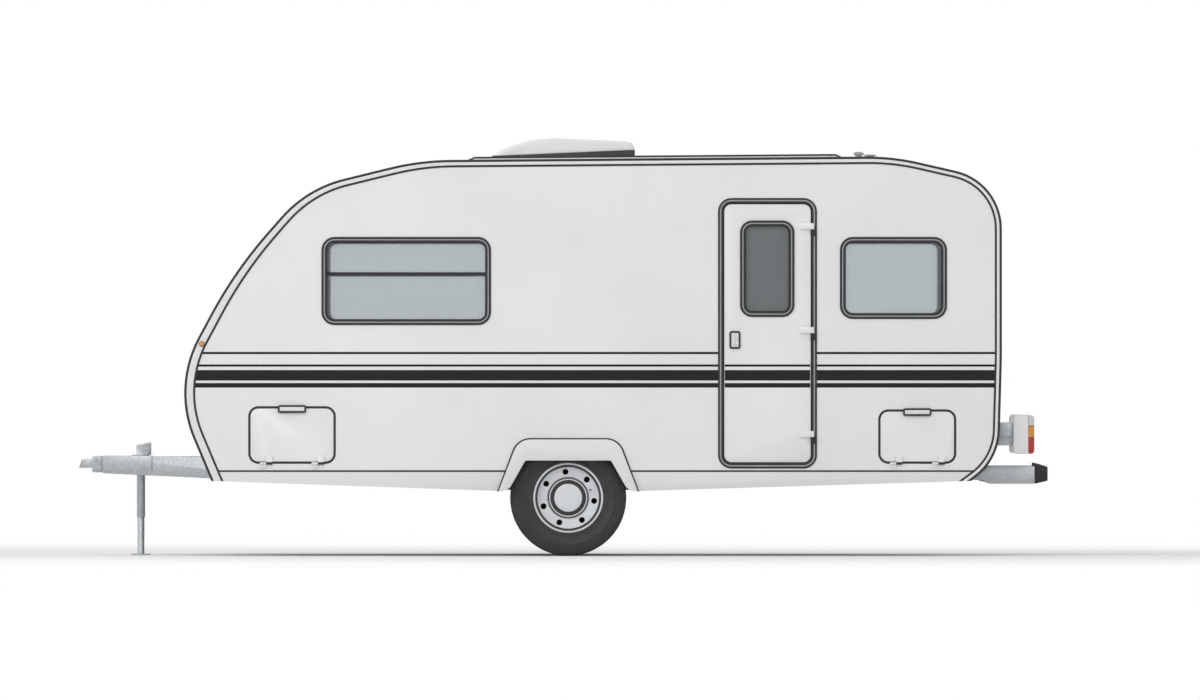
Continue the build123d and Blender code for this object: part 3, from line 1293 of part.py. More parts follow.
# Rear dinette: a bench along each wall, seat and back cushions, table
BENCH_FRONT_X = 1740.0
BENCH_REAR_GAP = 158.0
BENCH_X = (BENCH_FRONT_X, REAR_FACE_X - WALL - BENCH_REAR_GAP)
BENCH_DEPTH = 555.0
BENCH_OUT = INNER_HALF - BENCH_DEPTH
BENCH_TOP_Z = 985.0
CUSHION_THICKNESS = 90.0
BACK_HEIGHT = 340.0
CUSHION_GAP = 3.0
with BuildPart() as bench_boxes:
    add(cabinet(*BENCH_X, BENCH_OUT, BENCH_TOP_Z))
    mirror(about=Plane.XZ)
finish(bench_boxes, "bench_boxes")

with BuildPart() as bench_cushions:
    length = BENCH_X[1] - BENCH_X[0]
    back_out = INNER_HALF - CUSHION_THICKNESS
    with Locations((sum(BENCH_X) / 2, -BENCH_OUT, BENCH_TOP_Z)):
        Box(length, bed_half - BENCH_OUT, CUSHION_THICKNESS, align=(Align.CENTER, Align.MAX, Align.MIN))
    back_z = BENCH_TOP_Z + CUSHION_THICKNESS + CUSHION_GAP
    with Locations((sum(BENCH_X) / 2, -back_out, back_z)):
        Box(length, CUSHION_THICKNESS, BACK_HEIGHT, align=(Align.CENTER, Align.MAX, Align.MIN))
    mirror(about=Plane.XZ)
finish(bench_cushions, "bench_cushions")

TABLE_TOP_Z = 1300.0
TABLE_X = sum(BENCH_X) / 2
TABLE_LENGTH = 680.0
TABLE_WIDTH = 760.0
TABLE_RADIUS = 70.0
TABLE_BOARD = 27.0
TABLE_POST_RADIUS = 32.0
TABLE_FOOT = (110.0, 10.0)
with BuildPart() as table:
    with BuildSketch(Plane.XY.offset(TABLE_TOP_Z - TABLE_BOARD)):
        with Locations((TABLE_X, 0)):
            RectangleRounded(TABLE_LENGTH, TABLE_WIDTH, TABLE_RADIUS)
    extrude(amount=TABLE_BOARD)
    with BuildSketch(Plane.XY.offset(FLOOR_TOP_Z)):
        with Locations((TABLE_X, 0)):
            Circle(TABLE_POST_RADIUS)
    extrude(amount=TABLE_TOP_Z - TABLE_BOARD - FLOOR_TOP_Z)
    with BuildSketch(Plane.XY.offset(FLOOR_TOP_Z)):
        with Locations((TABLE_X, 0)):
            Circle(TABLE_FOOT[0])
    extrude(amount=TABLE_FOOT[1])
finish(table, "table")

os.makedirs("parts", exist_ok=True)
for piece in finished:
    export_step(piece.part, f"parts/{piece.part.label}.step")
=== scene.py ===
"""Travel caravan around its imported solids: finishes, seals, trims, wheels, fittings and upholstery."""

from collections import namedtuple
from functools import lru_cache, partial
from math import cos, exp, hypot, pi, radians, sin

import bmesh
import bpy
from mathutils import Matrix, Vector
from mathutils.bvhtree import BVHTree


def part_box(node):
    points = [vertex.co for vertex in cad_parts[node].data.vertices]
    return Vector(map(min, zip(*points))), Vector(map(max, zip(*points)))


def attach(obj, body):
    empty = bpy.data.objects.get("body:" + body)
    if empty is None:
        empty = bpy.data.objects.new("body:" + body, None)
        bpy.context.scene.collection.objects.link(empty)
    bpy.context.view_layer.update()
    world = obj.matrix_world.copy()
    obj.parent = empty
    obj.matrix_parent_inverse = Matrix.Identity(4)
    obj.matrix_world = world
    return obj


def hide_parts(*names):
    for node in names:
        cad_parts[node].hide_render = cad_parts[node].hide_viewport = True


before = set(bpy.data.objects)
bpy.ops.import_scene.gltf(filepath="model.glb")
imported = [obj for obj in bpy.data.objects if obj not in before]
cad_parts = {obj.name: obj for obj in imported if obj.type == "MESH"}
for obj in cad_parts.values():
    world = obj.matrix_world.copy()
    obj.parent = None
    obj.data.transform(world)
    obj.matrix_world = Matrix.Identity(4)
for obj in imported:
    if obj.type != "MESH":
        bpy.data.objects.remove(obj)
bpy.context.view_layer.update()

# Shared sizes of the solids, in metres
HALF_WIDTH = 1.125
SILL_Z = 0.480
WALL_BOTTOM_Z = 0.544
REAR_FACE_X = 2.808
AXLE_X = 0.038
TYRE_RADIUS = 0.372
WHEEL_OUT = 0.972
SIDES = (("left", -1), ("right", 1))
FORWARD, BACK, LEFT, RIGHT, DOWN, UP = (-1, 0, 0), (1, 0, 0), (0, -1, 0), (0, 1, 0), (0, 0, -1), (0, 0, 1)
# Rays start this far out
FAR = 4.0
# Faces that meet at a flatter angle, in degrees, are shaded as one
SMOOTH_ANGLE = 35
SOFT_ANGLE = 80

# Corners of the side outline: x, z, radius, trim width on the side that follows
BODY_CORNERS = (
    (-2.240, SILL_Z, 0.0, 0.055),
    (-2.494, 1.081, 0.746, 0.053),
    (-2.094, 1.827, 2.815, 0.044),
    (-1.632, 2.351, 0.778, 0.036),
    (-0.910, 2.528, 1.702, 0.032),
    (2.114, 2.552, 1.436, 0.030),
    (2.808, 2.393, 0.373, 0.029),
    (2.808, 1.255, 4.631, 0.029),
    (2.790, 0.616, 0.385, 0.029),
    (2.605, SILL_Z, 0.0, 0.0),
)
TRIM_WIDTHS = [corner[3] for corner in BODY_CORNERS[:-1]]

# Rounded rectangles in a wall: edges along and up, corner radius
Panel = namedtuple("Panel", "x0 x1 z0 z1 radius")
FRONT_WINDOW = Panel(-1.541, -0.456, 1.478, 2.042, 0.083)
REAR_SIDE_WINDOW = Panel(1.777, 2.462, 1.517, 2.042, 0.083)
END_WINDOW = Panel(-0.640, 0.640, 1.478, 2.042, 0.083)
DOOR_OUTLINE = Panel(0.997, 1.630, 0.560, 2.291, 0.086)
DOOR_WINDOW = Panel(1.138, 1.486, 1.530, 2.147, 0.077)
HATCHES = {
    "front": Panel(-2.005, -1.454, 0.595, 0.954, 0.060),
    "rear": Panel(2.027, 2.517, 0.595, 0.934, 0.060),
}
WINDOW_BAR_Z = 1.805
DOOR_FRAME_WIDTH = 0.035
LEAF_GAP = 0.005


def mm(*pairs):
    """Section given in millimetres."""
    return [(first / 1000, second / 1000) for first, second in pairs]


# Walls map (along, up, outwards from the wall face) to a point
def left_wall(along, up, out):
    return Vector((along, -HALF_WIDTH - out, up))


def right_wall(along, up, out):
    return Vector((along, HALF_WIDTH + out, up))


def rear_wall(along, up, out):
    return Vector((REAR_FACE_X + out, along, up))


def flat_wall(origin, along, up):
    """Wall in any plane; it faces along x up."""
    origin, along, up = Vector(origin), Vector(along).normalized(), Vector(up).normalized()
    facing = along.cross(up)

    def spot(a, u, out):
        return origin + along * a + up * u + facing * out

    return spot


def round_edges(mesh, edges, radius, segments):
    """Round edges of a bmesh."""
    bmesh.ops.bevel(
        mesh, geom=edges, offset=radius, segments=segments, profile=0.5, affect="EDGES", clamp_overlap=True
    )


class Shape:
    """Collects the faces of one piece; each face keeps the number of its material."""

    def __init__(self):
        self.points = []
        self.faces = []
        self.marks = []

    def add(self, points, faces, mark=0):
        first = len(self.points)
        self.points += [tuple(point) for point in points]
        self.faces += [[first + index for index in face] for face in faces]
        self.marks += [mark] * len(faces)

    def loft(self, rails, mark=0, around=False, along=False):
        """Skin over rails of equal length; around closes the section, along closes the path."""
        count = len(rails[0])
        points = [point for rail in rails for point in rail]
        faces = []
        for rail in range(len(rails) if around else len(rails) - 1):
            here, above = rail * count, (rail + 1) % len(rails) * count
            for step in range(count if along else count - 1):
                ahead = (step + 1) % count
                faces.append((here + step, here + ahead, above + ahead, above + step))
        self.add(points, faces, mark)

    def lathe(self, section, centre, axis, steps, mark=0):
        """Turn a section of (along the axis, radius) about an axis."""
        axis = Vector(axis).normalized()
        side = axis.orthogonal().normalized()
        up = axis.cross(side)
        turns = [2 * pi * step / steps for step in range(steps)]
        spokes = [side * cos(turn) + up * sin(turn) for turn in turns]
        rails = [
            [Vector(centre) + axis * along + spoke * radius for spoke in spokes] for along, radius in section
        ]
        self.loft(rails, mark, along=True)

    def block(self, low, high, radius, segments):
        """Box with rounded edges."""
        mesh = bmesh.new()
        bmesh.ops.create_cube(mesh, size=1.0)
        low, high = Vector(low), Vector(high)
        for vert in mesh.verts:
            vert.co = Vector([(low[i] + high[i]) / 2 + vert.co[i] * (high[i] - low[i]) for i in range(3)])
        round_edges(mesh, mesh.edges[:], radius, segments)
        self.take(mesh)

    def take(self, mesh):
        """Move a bmesh into this shape."""
        mesh.verts.index_update()
        faces = [[vert.index for vert in face.verts] for face in mesh.faces]
        self.add([vert.co for vert in mesh.verts], faces)
        mesh.free()

    def make(self, name, body, slot, materials, replaces=(), smooth=SMOOTH_ANGLE):
        """Turn the faces into an object that rides on a body."""
        mesh = bpy.data.meshes.new(name)
        mesh.from_pydata(self.points, [], self.faces)
        for material in materials:
            mesh.materials.append(material)
        mesh.polygons.foreach_set("material_index", self.marks)
        tidy = bmesh.new()
        tidy.from_mesh(mesh)
        bmesh.ops.remove_doubles(tidy, verts=tidy.verts, dist=1e-6)
        bmesh.ops.recalc_face_normals(tidy, faces=tidy.faces)
        tidy.to_mesh(mesh)
        tidy.free()
        return place(name, mesh, body, replaces, smooth)


def smoothed(mesh, angle=SMOOTH_ANGLE):
    """Shade a mesh smooth between its sharp edges."""
    mesh.shade_smooth()
    mesh.set_sharp_from_angle(angle=radians(angle))


def place(name, mesh, body, replaces=(), smooth=SMOOTH_ANGLE):
    """Put a mesh into the scene as a piece of a body."""
    smoothed(mesh, smooth)
    piece = bpy.data.objects.new(name, mesh)
    bpy.context.scene.collection.objects.link(piece)
    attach(piece, body)
    if replaces:
        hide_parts(*replaces)
    return piece


def arc_corner(before, corner, after, radius, steps):
    """Points of the arc that rounds one corner of an outline."""
    to_before = (Vector(before) - Vector(corner)).normalized()
    to_after = (Vector(after) - Vector(corner)).normalized()
    if radius <= 0:
        return [Vector(corner)]
    half = to_before.angle(to_after) / 2
    middle = (to_before + to_after).normalized()
    centre = Vector(corner) + middle * radius / sin(half)
    start = Vector(corner) + to_before * radius * cos(half) / sin(half) - centre
    end = Vector(corner) + to_after * radius * cos(half) / sin(half) - centre
    sweep = start.angle(end)
    return [
        centre + (start * sin(sweep * (1 - share)) + end * sin(sweep * share)) / sin(sweep)
        for share in [step / steps for step in range(steps + 1)]
    ]


def rounded(corners, radii, steps=8, closed=True):
    """Outline with rounded corners, as many points on each."""
    count = len(corners)
    points = []
    for index, (corner, radius) in enumerate(zip(corners, radii)):
        if not closed and index in (0, count - 1):
            points.append(Vector(corner))
        else:
            points += arc_corner(corners[index - 1], corner, corners[(index + 1) % count], radius, steps)
    return points


def panel_loop(panel, grow=0.0, steps=8):
    """Rounded rectangle, grown on all sides."""
    x0, x1, z0, z1 = panel.x0 - grow, panel.x1 + grow, panel.z0 - grow, panel.z1 + grow
    return rounded([(x0, z0), (x1, z0), (x1, z1), (x0, z1)], [max(panel.radius + grow, 0.001)] * 4, steps)


def ring(shape, panel, wall, profile, mark=0, around=True):
    """Band round a rounded rectangle; its profile holds (growth, outwards) pairs."""
    rails = [[wall(x, z, out) for x, z in panel_loop(panel, grow)] for grow, out in profile]
    shape.loft(rails, mark, around=around, along=True)


def sheet(shape, panel, wall, out, grow=0.0, mark=0):
    """Flat rounded rectangle."""
    points = [wall(x, z, out) for x, z in panel_loop(panel, grow)]
    shape.add(points, [list(range(len(points)))], mark)


def cross_point(line_a, line_b):
    """Point where two lines, each a point and a direction, cross."""
    (ax, az, adx, adz), (bx, bz, bdx, bdz) = line_a, line_b
    step = ((bx - ax) * bdz - (bz - az) * bdx) / (adx * bdz - adz * bdx)
    return ax + adx * step, az + adz * step


def body_line(insets, steps=14):
    """Side outline with each side moved inwards by its own inset."""
    sides = []
    for (x0, z0, _, _), (x1, z1, _, _), inset in zip(BODY_CORNERS, BODY_CORNERS[1:], insets):
        length = hypot(x1 - x0, z1 - z0)
        dx, dz = (x1 - x0) / length, (z1 - z0) / length
        sides.append((x0 + dz * inset, z0 - dx * inset, dx, dz))
    sill = (0.0, SILL_Z, 1.0, 0.0)
    corners = [cross_point(sill, sides[0])]
    corners += [cross_point(before, after) for before, after in zip(sides, sides[1:])]
    corners.append(cross_point(sides[-1], sill))
    radii = [0.0] + [corner[2] - inset for corner, inset in zip(BODY_CORNERS[1:-1], insets)] + [0.0]
    return rounded(corners, radii, steps, closed=False)


def trim_line(share, shift):
    """Line along the edge trim: a share of its width in from the outline, plus a shift."""
    return body_line([width * share + shift for width in TRIM_WIDTHS])


def x_at(line, height):
    """Station of a rising line at a height."""
    for (x0, z0), (x1, z1) in zip(line, line[1:]):
        if z0 <= height <= z1:
            return x0 + (x1 - x0) * (height - z0) / (z1 - z0)
    raise ValueError("height off the line")


def edge_x(height, rear):
    """Station of the trim's inner edge at a height."""
    line = trim_line(1.0, 0.0)
    return x_at(list(reversed(line)) if rear else line, height)


def end_line(out, low, high, rear):
    """Front or rear outline between two heights, moved outwards."""
    line = body_line([-out] * len(TRIM_WIDTHS))
    if rear:
        line = list(reversed(line))
    inner = [(x, z) for x, z in line[:len(line) // 2] if low < z < high]
    return [(x_at(line, low), low), *inner, (x_at(line, high), high)]


def slab(shape, panel, wall, profile, mark=0):
    """Raised plate: its profile runs up the edge and the last pair closes the top."""
    ring(shape, panel, wall, profile, mark, around=False)
    sheet(shape, panel, wall, profile[-1][1], profile[-1][0], mark)


def moulding(shape, wall, line_at, section, mark=0):
    """Band along a line in a wall; its section holds where the line runs and how far out."""
    shape.loft([[wall(x, z, out) for x, z in line_at(*moved)] for *moved, out in section], mark)


def tree_of(mesh):
    """Search tree over the faces of a mesh."""
    points = [vert.co for vert in mesh.vertices]
    return BVHTree.FromPolygons(points, [face.vertices for face in mesh.polygons])


@lru_cache(maxsize=None)
def surface(node):
    """Search tree over the faces of a solid."""
    return tree_of(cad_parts[node].data)


def land(node, start, towards):
    """Point and normal where a ray meets a solid."""
    return surface(node).ray_cast(Vector(start), Vector(towards))[:2]


def strip(shape, landings, profile, mark=0, closed=False):
    """Moulding along points on a surface; its profile holds (across, outwards) pairs."""
    rails = [[] for _ in profile]
    last = len(landings) - 1
    for index, (point, normal) in enumerate(landings):
        before = landings[index - 1][0] if closed or index else point
        after = landings[0 if index == last else index + 1][0] if closed or index < last else point
        across = (after - before).cross(normal).normalized()
        for rail, (aside, out) in zip(rails, profile):
            rail.append(point + across * aside + normal * out)
    shape.loft(rails, mark, along=closed)


# Fasteners in shares of their radius: along the axis, across
SCREW = ((-0.001, 1.0), (0.25, 1.0), (0.45, 0.75), (0.5, 0.4), (0.2, 0.25), (0.2, 0.0))
SCREW_RADIUS = 0.005
WASHER = ((-0.001, 1.5), (0.2, 1.45), (0.2, 0.5))
BOLT_HEAD = ((0.1, 1.0), (0.8, 1.0), (0.95, 0.8), (0.95, 0.0))
BOLT_RADIUS = 0.009


def scaled(section, height, radius):
    """Section of shares at its real size."""
    return [(along * height, across * radius) for along, across in section]


def screw(shape, landing, mark=0):
    """Pan-head screw with a dimple."""
    shape.lathe(scaled(SCREW, SCREW_RADIUS, SCREW_RADIUS), *landing, 12, mark)


def bolt(shape, landing):
    """Hexagon bolt head on a washer."""
    shape.lathe(scaled(WASHER, BOLT_RADIUS, BOLT_RADIUS), *landing, 20)
    shape.lathe(scaled(BOLT_HEAD, BOLT_RADIUS, BOLT_RADIUS), *landing, 6)


# Materials
CABIN_MIDDLE = (0.150, 0.0, 1.500)


class Nodes:
    """Short way to write the nodes of a shader."""

    def __init__(self, tree):
        self.nodes = tree.nodes
        self.links = tree.links

    def node(self, kind, inputs=None, **settings):
        made = self.nodes.new(kind)
        for key, value in settings.items():
            setattr(made, key, value)
        for key, value in (inputs or {}).items():
            if hasattr(value, "is_output"):
                self.links.new(value, made.inputs[key])
            else:
                made.inputs[key].default_value = value
        return made

    def math(self, operation, first, second):
        return self.node("ShaderNodeMath", {0: first, 1: second}, operation=operation).outputs[0]


class Finish(Nodes):
    """Procedural surface."""

    def __init__(self, name, color, roughness, metallic=0.0):
        self.material = bpy.data.materials.new(name)
        self.material.use_nodes = True
        super().__init__(self.material.node_tree)
        self.shader = self.nodes["Principled BSDF"]
        self.shader.inputs["Base Color"].default_value = (*color, 1.0)
        self.set(Roughness=roughness, Metallic=metallic)
        self.heights = []

    def set(self, **values):
        for key, value in values.items():
            self.shader.inputs[key.replace("_", " ")].default_value = value

    def spot(self, stretch=(1, 1, 1)):
        """Place on the object, stretched along its axes."""
        inputs = {"Vector": self.node("ShaderNodeTexCoord").outputs["Object"], "Scale": stretch}
        return self.node("ShaderNodeMapping", inputs).outputs[0]

    def noise(self, scale, detail=4.0, stretch=(1, 1, 1)):
        inputs = {"Vector": self.spot(stretch), "Scale": scale, "Detail": detail}
        return self.node("ShaderNodeTexNoise", inputs).outputs["Fac"]

    def wave(self, scale, direction):
        inputs = {"Vector": self.spot(), "Scale": scale}
        return self.node("ShaderNodeTexWave", inputs, bands_direction=direction).outputs["Fac"]

    def ramp(self, factor, low, high, start=0.35, end=0.65):
        made = self.node("ShaderNodeValToRGB", {"Fac": factor})
        for stop, (place_at, color) in zip(made.color_ramp.elements, ((start, low), (end, high))):
            stop.position = place_at
            stop.color = (*color, 1.0)
        return made.outputs["Color"]

    def tint(self, factor, low, high, start=0.35, end=0.65):
        self.links.new(self.ramp(factor, low, high, start, end), self.shader.inputs["Base Color"])

    def gloss(self, factor, low, high):
        made = self.node("ShaderNodeMapRange", {"Value": factor, "To Min": low, "To Max": high})
        self.links.new(made.outputs["Result"], self.shader.inputs["Roughness"])

    def bump(self, height, depth, strength=0.5):
        inputs = {"Height": height, "Strength": strength, "Distance": depth}
        if self.heights:
            inputs["Normal"] = self.heights[-1]
        made = self.node("ShaderNodeBump", inputs).outputs["Normal"]
        self.heights.append(made)
        self.links.new(made, self.shader.inputs["Normal"])


def lined(finish, color, inside):
    """Give the faces that look into the cabin, or out of it, another colour."""
    away = finish.node("ShaderNodeVectorMath", {0: finish.spot(), 1: CABIN_MIDDLE}, operation="SUBTRACT")
    normal = finish.node("ShaderNodeNewGeometry").outputs["Normal"]
    facing = finish.node("ShaderNodeVectorMath", {0: normal, 1: away.outputs[0]}, operation="DOT_PRODUCT")
    chosen = finish.math("LESS_THAN" if inside else "GREATER_THAN", facing.outputs["Value"], 0.0)
    first = finish.shader.inputs["Base Color"].links[0].from_socket
    mixed = finish.node("ShaderNodeMixRGB", {0: chosen, 1: first, 2: (*color, 1.0)})
    finish.links.new(mixed.outputs[0], finish.shader.inputs["Base Color"])


def shade(color, factor):
    """Colour made lighter or darker."""
    return tuple(min(channel * factor, 1.0) for channel in color)


def painted(name, color, roughness=0.25, coat=0.3, peel=0.0004, lining=None):
    """Gloss paint or gelcoat: slight shade drift, dull patches and orange peel."""
    finish = Finish(name, color, roughness)
    finish.set(Coat_Weight=coat, Coat_Roughness=0.12, Specular_IOR_Level=0.5 if max(color) > 0.1 else 0.2)
    finish.tint(finish.noise(1.3, 5), shade(color, 0.965), shade(color, 1.015))
    finish.gloss(finish.noise(6, 6), roughness * 0.8, roughness * 1.35)
    finish.bump(finish.noise(160, 2), peel, 0.25)
    if lining:
        lined(finish, lining, True)
    return finish.material


def moulded(name, color, roughness=0.5, grain=420):
    """Grained plastic or rubber."""
    finish = Finish(name, color, roughness)
    finish.tint(finish.noise(9, 5), shade(color, 0.93), shade(color, 1.07))
    finish.gloss(finish.noise(30, 5), roughness * 0.8, min(roughness * 1.3, 1.0))
    finish.bump(finish.noise(grain, 3), 0.0006, 0.35)
    return finish.material


def metal(name, color, roughness, stretch=(1, 1, 1)):
    """Bare or plated metal with fine rubbing marks."""
    finish = Finish(name, color, roughness, 1.0)
    finish.tint(finish.noise(14, 6, stretch), shade(color, 0.86), shade(color, 1.08))
    finish.gloss(finish.noise(220, 4, stretch), roughness * 0.7, roughness * 1.4)
    finish.bump(finish.noise(440, 2, stretch), 0.0002, 0.2)
    return finish.material


def galvanised(name):
    """Hot-dipped zinc with its spangle and a few dull runs."""
    color = (0.46, 0.48, 0.49)
    finish = Finish(name, color, 0.42, 0.85)
    cells = finish.node("ShaderNodeTexVoronoi", {"Vector": finish.spot(), "Scale": 75.0})
    finish.tint(cells.outputs["Color"], shade(color, 0.86), shade(color, 1.1), 0.0, 1.0)
    finish.gloss(finish.noise(18, 6), 0.32, 0.58)
    finish.bump(finish.noise(90, 4), 0.0005, 0.3)
    return finish.material


def timber(name, color, stretch, underside=None):
    """Cabinet board with grain along one axis."""
    finish = Finish(name, color, 0.42)
    grain = finish.noise(9, 8, stretch)
    finish.tint(grain, shade(color, 0.72), shade(color, 1.12), 0.3, 0.72)
    finish.gloss(grain, 0.36, 0.52)
    finish.bump(finish.noise(60, 6, stretch), 0.0004, 0.3)
    if underside:
        lined(finish, underside, False)
    return finish.material


def cloth(name, color, threads=900):
    """Woven upholstery: two crossed thread waves and a soft fuzz."""
    finish = Finish(name, color, 0.9)
    finish.set(Sheen_Weight=0.35, Sheen_Roughness=0.5)
    weave = finish.math("MULTIPLY", finish.wave(threads / 6, "X"), finish.wave(threads / 6, "Y"))
    finish.tint(finish.noise(60, 6), shade(color, 0.90), shade(color, 1.08))
    finish.bump(weave, 0.0008, 0.5)
    finish.bump(finish.noise(7, 3), 0.006, 0.35)
    return finish.material


def glazing(name):
    """Lightly tinted acrylic window."""
    finish = Finish(name, (0.72, 0.76, 0.78), 0.04)
    finish.set(Transmission_Weight=0.88, IOR=1.35)
    finish.gloss(finish.noise(3, 3), 0.02, 0.07)
    finish.bump(finish.noise(2.2, 2), 0.002, 0.12)
    return finish.material


def lens(name, color):
    """Moulded lamp lens with pressed ribs."""
    finish = Finish(name, color, 0.16)
    finish.set(Transmission_Weight=0.25, IOR=1.45, Coat_Weight=0.6)
    finish.tint(finish.noise(18, 2), shade(color, 0.92), shade(color, 1.05))
    finish.bump(finish.wave(26.0, "Z"), 0.002, 0.5)
    return finish.material


WHITE = (0.80, 0.80, 0.79)
white_panel = painted("white_gelcoat", WHITE, 0.22, 0.4)
wall_skin = painted("lined_gelcoat", WHITE, 0.22, 0.4, lining=(0.66, 0.63, 0.57))
white_trim = painted("white_moulding", (0.77, 0.77, 0.765), 0.32, 0.2, 0.0006)
stripe_vinyl = painted("stripe_vinyl", (0.012, 0.012, 0.013), 0.40, 0.0, 0.0002)
rubber = moulded("black_rubber", (0.016, 0.016, 0.017), 0.62)
filler = moulded("filler_strip", (0.33, 0.34, 0.35), 0.45)
black_plastic = moulded("black_plastic", (0.03, 0.03, 0.032), 0.48)
grey_plastic = moulded("grey_plastic", (0.36, 0.37, 0.38), 0.5)
zinc = galvanised("galvanised_steel")
dark_steel = painted("chassis_paint", (0.035, 0.035, 0.037), 0.45, 0.0, 0.0008)
wheel_paint = painted("wheel_enamel", (0.72, 0.73, 0.74), 0.28, 0.4)
bright = metal("plated_steel", (0.78, 0.79, 0.80), 0.14)
tyre_rubber = moulded("tyre_rubber", (0.030, 0.030, 0.031), 0.66, 260)
glass = glazing("tinted_window")
red_lens = lens("red_lens", (0.55, 0.012, 0.012))
amber_lens = lens("amber_lens", (0.85, 0.30, 0.02))
clear_lens = lens("clear_lens", (0.80, 0.80, 0.80))
board = timber("cabinet_board", (0.62, 0.49, 0.34), (1, 1, 0.06))
table_board = timber("table_board", (0.62, 0.49, 0.34), (1, 0.06, 1))
floor_vinyl = timber("floor_board", (0.40, 0.30, 0.21), (0.06, 1, 1), underside=(0.03, 0.03, 0.03))
worktop = moulded("worktop", (0.20, 0.20, 0.21), 0.35, 300)
bedding = cloth("bedding", (0.74, 0.73, 0.70), 700)
upholstery = cloth("upholstery", (0.30, 0.36, 0.42))
piping_cloth = cloth("piping", (0.16, 0.19, 0.23), 1200)
steel_sink = metal("sink_steel", (0.72, 0.73, 0.74), 0.22, (1, 12, 1))


# Solids kept as they are, with their edges eased
SHARP = radians(32)
FLAT = radians(0.4)
WELD = 2e-5
KNUCKLE_OUT_Y = -HALF_WIDTH - 0.002
KNUCKLE_TOP_Z = HATCHES["front"].z0 + 0.007
HATCH_BRACKETS_TOP_Z = 0.700


def is_hatch_knuckle(point):
    return point.y < KNUCKLE_OUT_Y and point.z < KNUCKLE_TOP_Z


def is_hatch_bracket(point):
    return point.z < HATCH_BRACKETS_TOP_Z


def soft_solid(node, radius, segments=2):
    """Bmesh of a solid with its sharp edges rounded."""
    soft = bmesh.new()
    soft.from_mesh(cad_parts[node].data)
    bmesh.ops.remove_doubles(soft, verts=soft.verts, dist=WELD)
    bmesh.ops.dissolve_limit(soft, angle_limit=FLAT, verts=soft.verts, edges=soft.edges)
    sharp = [edge for edge in soft.edges if edge.is_manifold and edge.calc_face_angle() > SHARP]
    round_edges(soft, sharp, radius, segments)
    return soft


def eased(node, body, material, radius=0.003, second=None, where=None):
    """Copy of a solid with rounded edges, shown in its place; some faces may take a second finish."""
    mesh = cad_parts[node].data.copy()
    mesh.name = node + "_eased"
    mesh.materials.clear()
    mesh.materials.append(material)
    soft = soft_solid(node, radius)
    if second:
        mesh.materials.append(second)
        for face in soft.faces:
            face.material_index = int(where(face.calc_center_median()))
    soft.to_mesh(mesh)
    soft.free()
    return place(node + "_eased", mesh, body, (node,))


def paint(node, material):
    """Give a solid its finish as it stands."""
    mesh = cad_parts[node].data
    mesh.materials.clear()
    mesh.materials.append(material)
    smoothed(mesh)


# Finish and slot, then the solids with their edge radius in millimetres
EASED = (
    (white_trim, "white_trim", {
        "side_skirts": 3, "wheel_arches": 7, "roof_deck": 4, "air_conditioner_shroud": 22, "fridge_vents": 2,
    }),
    (zinc, "galvanised", {
        "lamp_brackets": 3, "rear_bumper": 3, "drawbar_rails": 4, "drawbar_gusset": 1.5, "coupling": 4,
        "jack_body": 3, "chassis_rails": 1.5, "cross_members": 1.5, "corner_steadies": 2,
    }),
    (board, "cabinet_board", {
        "bed_base": 2, "side_cupboard": 3, "wardrobe": 3, "kitchen_unit": 3, "bench_boxes": 3,
    }),
    (table_board, "cabinet_board", {"table": 4}),
    (black_plastic, "black_plastic", {"air_conditioner_base": 3, "water_tank": 3}),
    (white_trim, "black_plastic", {"lamp_housings": 8}),
    (grey_plastic, "grey_plastic", {"wheel_boxes": 3}),
    (rubber, "black_rubber", {"bumper_caps": 6}),
    (dark_steel, "dark_steel", {"axle_beam": 4}),
)
for material, slot, solids in EASED:
    for node, radius in solids.items():
        eased(node, "chassis", material, radius / 1000)
eased("hinge_brackets", "chassis", rubber, 0.001, white_trim, is_hatch_bracket)
eased("jack_leg", "jack_leg", zinc)
eased("door_leaf", "door", white_panel)
for name in HATCHES:
    eased(f"{name}_hatch", f"{name}_hatch", white_panel, 0.003, rubber, is_hatch_knuckle)
for name, _ in SIDES:
    eased(f"rim_{name}", f"wheel_{name}", wheel_paint, 0.0018)
for node in ("side_wall_left", "side_wall_right", "front_panel", "roof_panel", "rear_panel"):
    paint(node, wall_skin)
for node in ("window_panes", "door_pane"):
    paint(node, glass)
paint("floor", floor_vinyl)
paint("hatch_frames", rubber)

# Edge trims: white moulding, black insert along the edge and a sealing bead along the inner line
# Sections: share of the trim's width, shift inwards, outwards
TRIM_SECTION = (
    (0, -0.004, -0.040), (0, -0.004, 0.004), (0, 0.000, 0.0062),
    (1, -0.004, 0.0062), (1, 0.000, 0.004), (1, 0.000, 0.000),
)
INSERT_SECTION = (
    (0, -0.0042, -0.010), (0, -0.0062, -0.002), (0, -0.0050, 0.0055),
    (0, -0.0010, 0.0085), (0, 0.0060, 0.0085), (0, 0.0100, 0.0060),
)
BEAD_SECTION = ((1, -0.003, 0.0060), (1, 0.003, 0.0064), (1, 0.009, 0.0040), (1, 0.0105, 0.0003))
trims = Shape()
for mark, section in enumerate((TRIM_SECTION, INSERT_SECTION, BEAD_SECTION)):
    for wall in (left_wall, right_wall):
        moulding(trims, wall, trim_line, section, mark)
trims.make("edge_trims_dressed", "chassis", "trim_alloy", [white_trim, rubber, rubber], ("edge_trims",))

# Stripes along the sides: bottom, top, whether it crosses the door
STRIPES = ((1.292, 1.306, False), (1.212, 1.226, True), (1.123, 1.190, True), (1.078, 1.107, True))
STRIPE_OUT = 0.0008
STRIPE_IN = STRIPE_OUT / 4
BEAD_WIDTH = 0.010
LEAF_INSET = DOOR_FRAME_WIDTH + LEAF_GAP + 0.003
END_HALF = HALF_WIDTH - 0.040


